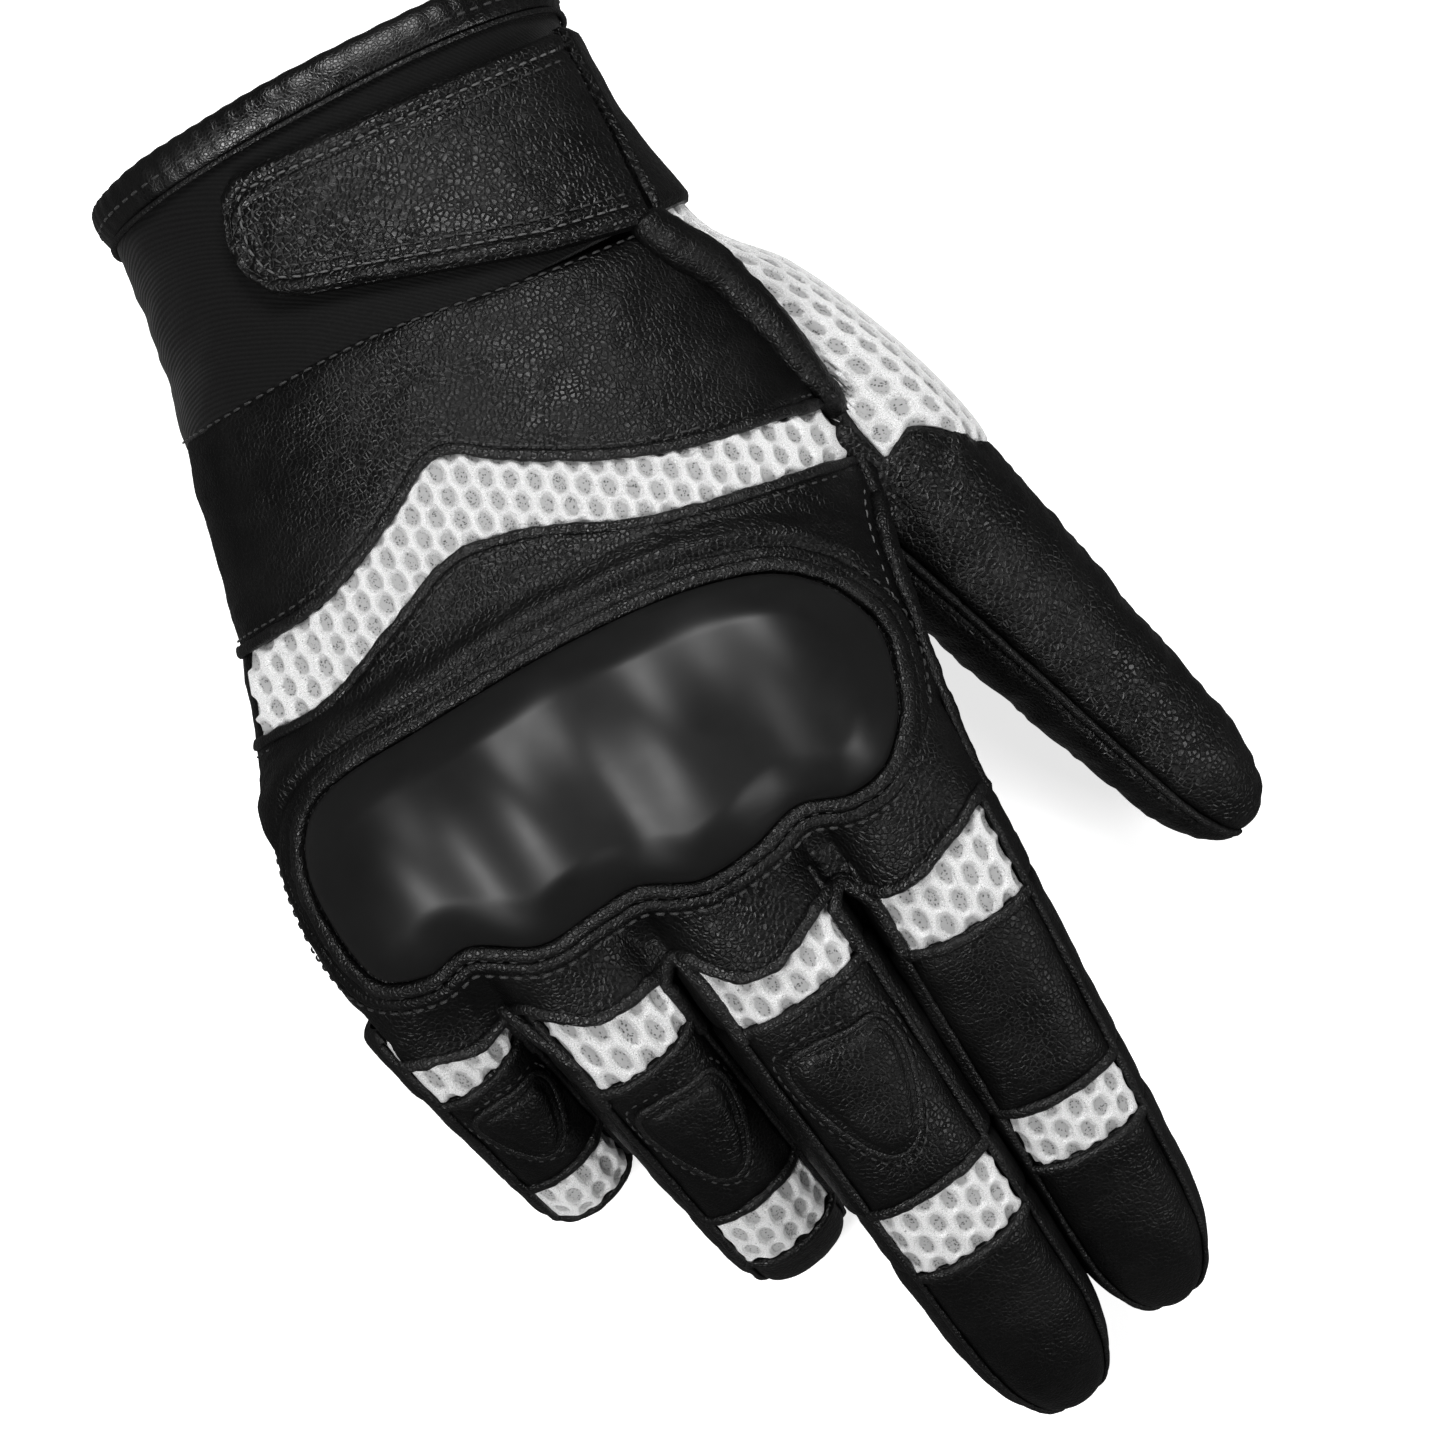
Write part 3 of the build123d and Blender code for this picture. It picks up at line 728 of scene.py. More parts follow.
def hand_panel(name, near, far, angle_a, angle_b, material, puff=0.9, width=5.0, edges=(1, 1, 1, 1), step=0.8,
               wrinkle=0.0, lift=0.0, shape=None, thick=WALL):
    """A panel of the hand, pillowed between its seams."""
    y, angle = hand_grid(near, far, angle_a, angle_b, 5, 5)
    rough = palm_at(y, angle)[0]
    down, _, across, _ = edge_distance(rough)
    n, m = int(down[-1].max() / step) + 3, int(across[:, -1].max() / step) + 3
    y, angle = hand_grid(near, far, angle_a, angle_b, n, m)
    base, normal = palm_at(y, angle)
    up = lift + puffed(base, puff, width, edges, dip=0.5)
    if wrinkle:
        up = up + crumple(base, (9, 5, 9), seed=len(name)) * wrinkle
    if shape is not None:
        up = up + shape(base)
    points = base + normal * up[..., None]
    down, _, across, _ = edge_distance(base)
    uv = np.stack([across - across[:, m // 2][:, None], down], axis=-1)
    return panel(name, points, normal, material, uv, thick)


cuff_y, near_y, far_y, end_y = (line_y(v) for v in (CUFF_SEAM, MESH_NEAR, MESH_FAR, KNUCKLE_END))


def palm_pieces():
    """The stretch cuff and the leather between it and the mesh band."""
    y = np.linspace(0, CUFF_LENGTH, 56)[:, None] * np.ones((1, 300))
    angle = np.linspace(0, 2 * pi, 300)[None] * np.ones((56, 1))
    base, normal = palm_at(y, angle)
    fold = 0.5 * np.sin(base[..., 1] * 0.42 + noise(base, 16, 3) * 2.5) * smoothstep(4, 14, y)
    strain = crumple(base, (14, 6, 14), 5) * 0.35
    points = base + normal * (fold * 0.5 + strain)[..., None]
    cuff = panel("cuff_body", points, normal, TWILL, thick=WALL)
    leather_back = hand_panel("back_leather", cuff_y, near_y, constant(radians(8)), radial_angle, BLACK,
                              puff=0.9, width=6, wrinkle=0.28, edges=(1, 1, 0, 1))
    return [cuff, leather_back]


def guard_surround(points):
    """Ridges of the leather round the guard: a padded roll on its wrist side, creases by the fingers."""
    x, y = points[..., 0], points[..., 1]
    d = guard_distance(x, y)
    wrist_side = smoothstep(108, 96, y)
    roll = 1.9 * np.exp(-(((d - 6.0) / 2.6) ** 2)) * wrist_side
    edge = 0.9 * np.exp(-(((d - 2.2) / 1.3) ** 2))
    groove = -0.5 * np.exp(-(((d - 3.9) / 0.5) ** 2))
    ripples = 0.1 * np.sin(d * 1.9 + noise(points, 7, 11) * 5.0) * smoothstep(4, 7, d) * smoothstep(22, 8, d)
    return roll + edge + groove + ripples * (0.4 + 0.6 * wrist_side)


def closed_curve(points, step=1.0):
    """A smooth closed curve through points seen from above, at even steps."""
    p = np.asarray(points, float)
    n = len(p)
    t = np.arange(-3, n + 4)
    ring = p[t % n]
    at = np.linspace(0, n, n * 16, endpoint=False)
    dense = np.stack([curve_through(t, ring[:, c], at) for c in range(2)], axis=1)
    dense = np.concatenate([dense, dense[:1]])
    return resample(dense, step)[:-1]


GUARD_RING = closed_curve(GUARD_OUTLINE, 0.8)


def offset_ring(ring, amount):
    """A closed counter-clockwise curve moved outwards."""
    tangent = np.roll(ring, -1, axis=0) - np.roll(ring, 1, axis=0)
    out = np.stack([tangent[:, 1], -tangent[:, 0]], axis=1)
    return ring + out / np.linalg.norm(out, axis=1, keepdims=True) * amount


def guard_distance(x, y):
    """Distance outside the guard's outline, negative inside it."""
    shape = np.shape(x)
    p = np.stack([np.ravel(x), np.ravel(y)], axis=1)
    best = np.full(len(p), 1e9)
    for start in range(0, len(p), 4000):
        d = np.linalg.norm(p[start:start + 4000, None] - GUARD_RING[None], axis=-1)
        best[start:start + 4000] = d.min(axis=1)
    angle = np.zeros(len(p))
    a = GUARD_RING[None] - p[:, None]
    b = np.roll(GUARD_RING, -1, axis=0)[None] - p[:, None]
    cross = a[..., 0] * b[..., 1] - a[..., 1] * b[..., 0]
    angle = np.arctan2(cross, np.sum(a * b, axis=-1)).sum(axis=1)
    inside = np.abs(angle) > pi
    return np.where(inside, -best, best).reshape(shape)


GUARD_CENTRE = (9.0, 114.0)
# Knuckle ridges of the guard: x, y of the crown, half width, half length, height above the guard's own crown.
GUARD_RIDGES = [
    (-23.5, 113, 8.5, 17, 4.0), (-1.5, 113, 10.5, 19, 5.0), (24, 112, 9.5, 19, 5.0), (45, 112, 8.0, 15, 3.6),
]


def guard_height(x, y, d):
    """Height of the guard's skin above the hand, d inside its outline being negative."""
    inside = np.maximum(-d, 0)
    shoulder = np.sqrt(np.clip(1 - (1 - np.clip(inside / 7.0, 0, 1)) ** 2, 0, 1))
    total = 1.6 + 4.4 * shoulder
    for cx, cy, w, l, h in GUARD_RIDGES:
        lean = 0.12 * (y - cy)
        r = ((x - cx + lean) / w) ** 2 + ((y - cy) / l) ** 2
        total = total + h * np.exp(-r * 0.9) * smoothstep(0.5, 8, inside)
    for (xa, *_), (xb, *_) in zip(GUARD_RIDGES, GUARD_RIDGES[1:]):
        mid = (xa + xb) / 2
        valley = np.exp(-(((x - mid + 0.12 * (y - 113)) / 5.0) ** 2)) * smoothstep(108, 128, y)
        total = total - 0.7 * valley * smoothstep(1, 7, inside)
    return total


def guard_pieces():
    """The moulded guard and its stitched leather frame."""
    v = np.linspace(0.0002, 1, 56)
    centre = np.array(GUARD_CENTRE)
    flat = centre + (GUARD_RING[:, None] - centre) * v[None, :, None]
    flat = np.concatenate([flat, flat[:1]])
    x, y = flat[..., 0], flat[..., 1]
    base, normal = top_point(x, y)
    d = guard_distance(x, y)
    d[:, -1] = 0
    up = guard_height(x, y, d)
    up[:, -1] = 0.2
    blend_normal = unit(normal * 0.5 + np.array([0, 0, 1.0]) * 0.5)
    points = base + blend_normal * up[..., None]
    shell = panel("guard_shell", points, unit(blend_normal), GUARD, thick=1.2)
    out = [shell]
    for k, (amount, lift, half_w, half_h, material) in enumerate((
        (0.9, 1.5, 1.25, 1.0, FOLDED), (3.1, 1.0, 1.1, 0.8, BLACK),
    )):
        ring = offset_ring(GUARD_RING, amount)
        p, n = top_point(ring[:, 0], ring[:, 1], lift)
        out.append(tube(f"guard_lip_{k + 1}", p, n, half_w, half_h, material, closed=True, rough=0.22,
                        seed=20 + k))
    for k, (amount, lift) in enumerate(((2.1, 1.25), (4.6, 0.9))):
        ring = offset_ring(GUARD_RING, amount)
        p, n = top_point(ring[:, 0], ring[:, 1], lift)
        p, n = np.concatenate([p, p[:1]]), np.concatenate([n, n[:1]])
        out.append(stitch_row(f"guard_stitches_{k + 1}", p, n, THREAD, pitch=2.3, length=1.7, radius=0.26))
    return out


# ---------------------------------------------------------------- the leather's run on to the fingers


def finger_top(x, y):
    """Height of the highest finger or socket over each x, y, or very low where there is none."""
    best = np.full(np.shape(x), -50.0)
    for name in FINGERS:
        d = digits[name]
        root = np.array(DIGITS[name]["root"])
        pitch = radians(DIGITS[name]["pitch"][0])
        a = radians(d.lean)
        dx, dy = x - root[0], y - root[1]
        run = dx * -sin(a) + dy * cos(a)
        across = dx * cos(a) + dy * sin(a)
        run = np.clip(run - d.height[0] * sin(pitch), -60, 12)
        w = d.width[0]
        round_over = np.clip(1 - np.abs(across / w) ** FINGER_POWER, 0, 1) ** (1 / FINGER_POWER)
        z = root[2] - run * tan(pitch * 1.3) + d.height[0] * round_over / cos(pitch)
        z = np.where(np.abs(across) < w, z, root[2] - 6 - np.abs(across) + w)
        best = np.maximum(best, z)
    return best


def settle_on_fingers(points):
    """Brings the hand's leather down onto the fingers' roots near its far edge."""
    x, y = points[..., 0], points[..., 1]
    target = finger_top(x, y) + 0.7
    target = np.maximum(target, points[..., 2] - 9.0)
    share = smoothstep(127, 143, y)
    out = points.copy()
    out[..., 2] = points[..., 2] * (1 - share) + target * share
    return out


def knuckle_piece():
    """The leather round the guard, from the mesh band to the scalloped line at the fingers' roots."""
    y, angle = hand_grid(far_y, end_y, constant(radians(8)), radial_angle, 110, 190)
    base, normal = palm_at(y, angle)
    up = puffed(base, 0.8, 3.0, (1, 1, 0, 1), dip=0.5)
    up = up + crumple(base, (11, 7, 9), 31) * 0.3 + guard_surround(base)
    points = settle_on_fingers(base + normal * up[..., None])
    normal = grid_normals(points, normal)
    return panel("knuckle_leather", points, normal, BLACK, thick=1.4)


def knuckle_edge(lift):
    """Path and normals along the scalloped edge of the knuckle leather."""
    xs = np.linspace(-42.5, 61.5, 400)
    path = resample(np.stack([xs, end_y(xs)], axis=1), 0.5)
    p, n = top_point(path[:, 0], path[:, 1], 0.0)
    p = settle_on_fingers(p)
    return p + n * lift, n


# ---------------------------------------------------------------- mesh inserts


def relieved(up, uv):
    """Mesh web standing proud of its holes."""
    return up + MESH_RELIEF * (smoothstep(0.85, 1.5, lattice(uv[..., 0], uv[..., 1])) - 1)


def back_mesh_piece():
    y, angle = hand_grid(near_y, far_y, constant(radians(8)), radial_angle, 48, 330)
    base, normal = palm_at(y, angle)
    uv = np.stack([base[..., 0] * 1.08 + 200, base[..., 1] * 1.02 + 100], axis=-1)
    up = relieved(puffed(base, 0.5, 4.0, (1, 1, 0, 0), dip=0.3), uv)
    return panel("back_mesh_net", base + normal * up[..., None], normal, MESH, uv, thick=1.2)


THENAR = np.array([
    (34, -22, 26, 14, 13), (46, -29.5, 28, 17.5, 16), (52, -33, 29, 18.5, 17), (72, -43.5, 32, 18.5, 17),
    (87, -50.2, 33.5, 17, 15.4), (101, -54.5, 30.5, 15.6, 14),
])


def thenar_raw(y, angle):
    """The thumb's root: angle 0 on the thumb side, 90 degrees on top."""
    cx, cz, w, h = (curve_through(THENAR[:, 0], THENAR[:, c], y) for c in range(1, 5))
    across, up = signed_power(np.cos(angle), 0.9), signed_power(np.sin(angle), 0.9)
    return np.stack([cx - w * across, y, cz + h * up], axis=-1)


def gusset_surface(y, share):
    """From the radial seam at share 0, over the thumb's root, to the palm at share 1."""
    seam = palm_at(y, radial_angle(y))[0]
    angle = radians(88) - share * radians(190)
    over = thenar_raw(y, angle)
    hold = smoothstep(0.0, 0.28, share)[..., None]
    free = smoothstep(37, 56, y)[..., None]
    over = palm_at(y, radial_angle(y) + share * radians(80))[0] * (1 - free) + over * free
    return seam * (1 - hold) + over * hold


GUSSET_SIDE = [(-90, 108), (-74, 98.5), (-68.8, 95.5), (-63, 90), (-58.5, 88.0), (-55.5, 89.6), (-53.3, 90.2),
               (-51.5, 85), (-49, 80), (-44, 78)]
gusset_end = line_y(GUSSET_SIDE)


def gusset_pieces():
    """Mesh over the thumb's root, from the cuff to the thumb's saddle, and the leather palm side of it."""
    n, m = 120, 110
    share = np.linspace(0, 1, m)[None] * np.ones((n, 1))
    t = np.linspace(0, 1, n)[:, None] * np.ones((1, m))
    y = 40 + t * 50
    for _ in range(10):
        x = gusset_surface(y, share)[..., 0]
        limit = gusset_end(x) + 0.6
        y = 37.5 + t * (limit - 37.5)
    base = gusset_surface(y, share)
    outward = base - np.stack([0 * y - 20, y, 0 * y + 32], axis=-1)
    normal = grid_normals(base, outward)
    uv = np.stack([share * 64 + 300, y * 1.0 + 300], axis=-1)
    top = slice(0, 74)
    up = relieved(puffed(base, 0.6, 5.0, (1, 1, 1, 0), dip=0.2), uv)
    points = base + normal * up[..., None]
    net = panel("thumb_gusset_net", points[:, top], normal[:, top], MESH, uv[:, top], thick=1.2)
    low = slice(72, m)
    up = puffed(base, 0.5, 4.0, (1, 1, 0, 0), dip=0.3) + crumple(base, (9, 9, 9), 41) * 0.3
    points = base + normal * up[..., None]
    under = panel("thumb_root_leather", points[:, low], normal[:, low], PALM_SKIN, thick=1.4)
    return net, under


# ---------------------------------------------------------------- rolls, welts and seams of the hand


def radial_roll():
    """The rolled leather edge down the thumb side, fat at the cuff and thin by the index finger."""
    ys = np.linspace(39.5, 146, 260)
    xs = curve_through(seam_ys, seam_xs, ys)
    path = resample(np.stack([xs, ys], axis=1), 0.5)
    p, n = top_point(path[:, 0] + 0.6, path[:, 1], 0.6)
    out = np.array([-0.35, 0, 0])
    n = unit(n + out)
    y = path[:, 1]
    fat = 1.1 + 0.9 * smoothstep(138, 96, y) + 1.7 * smoothstep(96, 58, y)
    fat = fat + 0.5 * np.exp(-(((y - 49) / 5) ** 2)) + 0.2 * noise(p, 8, 51)
    p = p + n * (fat * 0.35)[:, None]
    return tube("radial_roll", p, n, fat, fat * 0.85, BLACK, rough=0.25, seed=52, flat=2.1)


def hand_welts():
    """Folded edges along the mesh bands, seams and the fingers' roots."""
    out = []
    for name, line, x_from, x_to, half_w, shift in (
        ("welt_mesh_near", near_y, -47.5, 54.5, 0.95, -0.5), ("welt_mesh_far", far_y, -48.5, 57.5, 0.95, 0.5),
    ):
        xs = np.linspace(x_from, x_to, 500)
        path = resample(np.stack([xs, line(xs) + shift], axis=1), 0.5)
        p, n = top_point(path[:, 0], path[:, 1], 0.55)
        out.append(tube(name, p, n, half_w, 0.75, FOLDED, rough=0.2, seed=60))
        edge = np.stack([path[:, 0], path[:, 1] + shift * 3.4], axis=1)
        p, n = top_point(edge[:, 0], edge[:, 1], 0.75)
        out.append(stitch_row(name + "_stitches", p, n, THREAD, pitch=2.4, length=1.7, radius=0.2))
    p, n = knuckle_edge(0.25)
    out.append(tube("welt_finger_roots", p, n, 1.0, 0.8, FOLDED, rough=0.28, seed=61))
    xs = np.linspace(-36, 45.5, 300)
    path = resample(np.stack([xs, cuff_y(xs) + 0.8], axis=1), 0.6)
    p, n = top_point(path[:, 0], path[:, 1], 0.7)
    out.append(stitch_row("cuff_seam_stitches", p, n, THREAD, pitch=2.4, length=1.7, radius=0.2))
    ys = np.linspace(94, 143, 200)
    path = resample(np.stack([curve_through(seam_ys, seam_xs, ys) + 2.3, ys], axis=1), 0.5)
    p, n = top_point(path[:, 0], path[:, 1], 0.85)
    # These stitches take the paler thread, a painted highlight.
    out.append(stitch_row("index_side_stitches", p, n, PAINTED_HIGHLIGHT_THREAD, pitch=2.4, length=1.5, radius=0.16))
    return out


def side_pieces():
    """Little-finger side, palm, and the leather between the index finger and the thumb."""
    cuff_low, parting = constant(38.0), constant(radians(-26))
    far_low = line_y([(-90, 150), (110, 128)])
    return [
        hand_panel("ulnar_side", cuff_low, far_low, parting, constant(radians(10)), BLACK, puff=0.7, width=5,
                   wrinkle=0.3, step=1.1),
        hand_panel("palm_skin", cuff_low, far_low, constant(radians(-170)), parting, PALM_SKIN, puff=0.8,
                   width=6, wrinkle=0.7, step=1.2),
        hand_panel("index_side_leather", constant(84.0), constant(144.0), radial_angle,
                   constant(radians(192)), BLACK, puff=0.5, width=4, wrinkle=0.4, step=1.0),
    ]


# ---------------------------------------------------------------- cuff, binding and strap


def rim_point(angle, lift, back):
    """A point by the cuff's rim at an angle, lift off its surface and back towards the wrist."""
    y = np.zeros_like(angle)
    p, n = palm_at(y + 0.05, angle, 0.0)
    t = radians(PALM[0, 6])
    along = np.array([0, -cos(t), -sin(t)])
    return p + n * np.asarray(lift)[..., None] + along * np.asarray(back)[..., None], n, along


def cuff_pieces():
    """Rolled binding over the rim, with its seam."""
    k = 420
    angle = np.linspace(0, 2 * pi, k, endpoint=False)
    profile = [
        (-2.4, -3.0), (-3.0, -0.6), (-2.9, 1.8), (-1.6, 3.3), (0.1, 3.5), (1.2, 2.7), (1.65, 1.3),
        (1.6, -0.4), (1.35, -1.8), (0.9, -3.2), (0.2, -3.9), (-1.4, -3.6),
    ]
    rings = []
    fold = 0.22 * np.sin(angle * 61 + 3 * np.sin(angle * 5)) + 0.25 * np.sin(angle * 9 + 1)
    for lift, back in profile:
        side = 1.0 if lift > 0 else 0.3
        p, n, _ = rim_point(angle, lift + fold * 0.35 * side, np.full(k, back) + fold * 0.3)
        rings.append(p)
    points = np.stack(rings, axis=1)
    m = len(profile)
    faces = quads(k, m, wrap=True)
    last = quads(2, m, wrap=True)
    last = np.where(last < m, last + (k - 1) * m, last - m)
    binding = add_mesh("rim_binding", points.reshape(-1, 3), np.concatenate([faces, last]), SMOOTH)
    smooth = binding.modifiers.new("round", "SUBSURF")
    smooth.levels = smooth.render_levels = 1
    angle = np.linspace(0, 2 * pi, 600)
    p, n, _ = rim_point(angle, np.full(600, 1.55), np.full(600, -0.8))
    seam = stitch_row("binding_stitches", p, n, THREAD, pitch=2.6, length=1.9, radius=0.22)
    p, n, _ = rim_point(angle[:-1], np.full(599, 0.75), np.full(599, -4.1))
    gutter = tube("binding_gutter", p, n, 0.5, 0.5, FOLDED, closed=True)
    return binding, seam, gutter


# The strap's outline from its root round the free end and back, then the heights of its two faces.
STRAP_EDGE = [
    (-35.3, 6.3), (-20, 5.4), (0, 4.4), (12, 3.4), (17.5, 3.2), (20.3, 5.2), (22.0, 10.0), (22.9, 15.0),
    (22.2, 19.5), (20.0, 23.6), (16.0, 25.7), (8.0, 28.3), (0, 31.0), (-20, 37.7), (-35.3, 41.0),
]
STRAP_LIFT = (2.3, 4.3)


def strap_rows(n, m):
    """The strap's face seen from above: m points across it at each of n stations from root to free end."""
    low, high = STRAP_EDGE[:8], STRAP_EDGE[:6:-1]
    low, high = resample(low, 0.5), resample(high, 0.5)
    s = np.linspace(0, 1, n)
    def along(path):
        at = np.linspace(0, 1, len(path))
        return np.stack([np.interp(s, at, path[:, c]) for c in range(2)], axis=1)
    a, b = along(low), along(high)
    t = np.linspace(0, 1, m)[None, :, None]
    return a[:, None] * (1 - t) + b[:, None] * t


def strap_pieces():
    """Wrinkled leather strap with a turned edge and two rows of stitching, and its hook patch."""
    flat = strap_rows(130, 84)
    x, y = flat[..., 0], flat[..., 1]
    base, normal = top_point(x, y)
    _, down_back, across, across_back = edge_distance(base)
    edge = np.minimum(np.minimum(across, across_back), down_back)
    up = STRAP_LIFT[1] - 0.15 - 0.75 * (1 - smoothstep(0, 0.9, edge)) * 1.2
    up = up + 0.34 * np.exp(-(((edge - 1.6) / 0.9) ** 2)) - 0.42 * np.exp(-(((edge - 3.3) / 0.45) ** 2))
    up = up - 0.22 * np.exp(-(((edge - 5.2) / 0.35) ** 2))
    up = up + crumple(base, (5, 9, 5), 71) * 0.16 * smoothstep(3, 7, edge)
    up = up + 0.35 * np.sin(base[..., 0] * 0.16 + 1.0) * smoothstep(0, 8, edge) * 0.6
    strap = panel("strap_leather", base + normal * up[..., None], normal, COARSE, thick=1.9)
    out = [strap]
    rim = np.concatenate([flat[:, 0], flat[-1, 1:-1], flat[::-1, -1]])
    rim = resample(rim, 0.5)
    for k, inset in enumerate((2.9, 4.8)):
        tangent = unit(np.gradient(rim, axis=0))
        inward = np.stack([-tangent[:, 1], tangent[:, 0]], axis=1)
        path = rim + inward * inset
        path = path[(path[:, 0] > -34.5) & (np.linalg.norm(path - rim, axis=1) > 0)]
        path = resample(path, 0.4)
        p, n = top_point(path[:, 0], path[:, 1], STRAP_LIFT[1] - 0.05)
        # The outer row takes the paler thread, a painted highlight.
        out.append(stitch_row(f"strap_stitches_{k + 1}", p, n, PAINTED_HIGHLIGHT_THREAD if k == 0 else THREAD, pitch=2.3,
                              length=1.6, radius=0.2))
    hook = patch_piece("hook_tape", -6.0, 16.5, 8.0, 23.5, 1.45, 2.2, HOOK)
    out.append(hook)
    return out


def patch_piece(name, x0, x1, y0, y1, low, high, material):
    """A flat tape patch on the cuff with rounded corners."""
    n, m = 50, 50
    u, v = np.meshgrid(np.linspace(-1, 1, n), np.linspace(-1, 1, m), indexing="ij")
    square = np.stack([u * np.sqrt(1 - 0.12 * v**6), v * np.sqrt(1 - 0.12 * u**6)], axis=-1)
    x = (x0 + x1) / 2 + square[..., 0] * (x1 - x0) / 2
    y = (y0 + y1) / 2 + square[..., 1] * (y1 - y0) / 2
    base, normal = top_point(x, y)
    up = high - 0.25 * (1 - smoothstep(0, 1.2, np.minimum.reduce(edge_distance(base))))
    return panel(name, base + normal * up[..., None], normal, material, thick=high - low)


def strap_root_piece():
    """The strap's sewn end, wrapped down the thumb side of the cuff."""
    n, m = 60, 46
    t = np.linspace(0, 1, n)[:, None] * np.ones((1, m))
    s = np.linspace(0, 1, m)[None] * np.ones((n, 1))
    y = 7.0 + 33.0 * t
    start = angle_of_x(np.full_like(y, -38.2), y)
    angle = start + s * radians(34)
    base, normal = palm_at(y, angle)
    edge = np.minimum.reduce(edge_distance(base))
    up = 2.1 - 0.9 * (1 - smoothstep(0, 1.2, edge)) + crumple(base, 5, 81) * 0.15
    return panel("strap_root", base + normal * up[..., None], normal, COARSE, thick=1.7)


# ---------------------------------------------------------------- fingers

SEAM_TOP = radians(90 - 54)  # the back panel's seam on the thumb side; the other is its mirror image
SEAM_LOW = radians(-14)
# Fullness of the side panels that press on the next finger: finger, then 0 for its thumb side, 1 the other.
SIDE_PUFF = {("index", 1): 1.2, ("middle", 0): 1.2, ("middle", 1): 0.9, ("ring", 0): 0.9, ("ring", 1): 0.7}


def digit_grid(d, s_a, s_b, angle_a, angle_b, step):
    n = int((s_b - s_a) / step) + 3
    m = int(abs(angle_b - angle_a) * 11.5 / step) + 3
    s = np.linspace(s_a, s_b, n)[:, None] * np.ones((1, m))
    angle = np.linspace(angle_a, angle_b, m)[None] * np.ones((n, 1))
    base, normal = d.at(s, angle)
    return s, angle, base, normal


def digit_panel(d, part, s_a, s_b, angle_a, angle_b, material, puff=0.8, width=3.5, edges=(1, 1, 1, 1),
                step=0.75, wrinkle=0.25, dip=0.45, shape=None, thick=1.3):
    """A leather panel of a finger between two stations and two angles."""
    s, angle, base, normal = digit_grid(d, s_a, s_b, angle_a, angle_b, step)
    up = puffed(base, puff, width, edges, dip=dip)
    up = up + crumple(base, (7, 7, 7), seed=len(d.name) * 7 + len(part.split("_")[-1])) * wrinkle
    if shape is not None:
        up = up + shape(s, angle, base)
    points = base + normal * up[..., None]
    return panel(f"{d.name}_{part}", points, normal, material, thick=thick)


def digit_net(d, part, s_a, s_b):
    """A white mesh band over the back of a finger joint."""
    a, b = SEAM_TOP, pi - SEAM_TOP
    s, angle, base, normal = digit_grid(d, s_a, s_b, a, b, 0.36)
    down, _, across, _ = edge_distance(base)
    middle = across[:, across.shape[1] // 2][:, None]
    uv = np.stack([across - middle + 100.9 * (1 + len(d.name)), s + 50 * len(part)], axis=-1)
    up = relieved(puffed(base, 0.55, 3.0, (1, 1, 1, 1), dip=0.35), uv)
    return panel(f"{d.name}_{part}", base + normal * up[..., None], normal, MESH, uv, thick=1.1)


def creased(s, angle, base):
    """Fine folds across the palm side of a joint."""
    under = smoothstep(0.1, -0.5, np.sin(angle))
    return under * 0.5 * np.sin(s * 1.5 + noise(base, 6, 3))


def across_welt(d, part, s_at, lift=0.35, half_w=0.95):
    """A folded welt across the back of a finger."""
    angle = np.linspace(SEAM_TOP - 0.06, pi - SEAM_TOP + 0.06, 70)
    bow = s_at + 0.5 * np.sin((angle - SEAM_TOP) / (pi - 2 * SEAM_TOP) * pi)
    p, n = d.at(bow, angle, lift)
    return tube(f"{d.name}_{part}", p, n, half_w, 0.72, FOLDED, rough=0.2, seed=len(d.name) + len(part))


def long_seam(d, part, s_a, s_b, angle, half=0.62, lift=0.5):
    """Piping along a finger's side seam."""
    s = np.linspace(s_a, s_b, int((s_b - s_a) / 0.6) + 3)
    p, n = d.at(s, np.full_like(s, angle), lift)
    return tube(f"{d.name}_{part}", p, n, half, half, FOLDED, rough=0.12, seed=len(part), flat=2.0)


def pad_outline(d, scale):
    """The shield-shaped pad's outline as station and distance across, for a finger."""
    mid = (d.s1 + d.s2) / 2
    shape = [
        (-0.92, -0.30), (-1.02, 0.35), (-0.95, 0.92), (-0.45, 1.0), (0.30, 0.78), (0.86, 0.42),
        (1.0, 0.02), (0.82, -0.38), (0.25, -0.80), (-0.40, -1.0), (-0.85, -0.86),
    ]
    half_l, half_w = d.first * 0.30, d.width[0] * 0.60
    points = [(mid - 0.5 + a * half_l * scale, b * half_w * scale) for a, b in shape]
    return closed_curve(points, 0.5)


def on_back(d, s, across, lift=0.0):
    """A point on a finger's back, across mm from its middle towards the little finger."""
    w, _ = d.size(s)
    c = np.clip(-across / w, -0.98, 0.98)
    angle = np.arccos(signed_power(c, FINGER_POWER / 2))
    return d.at(s, angle, lift)


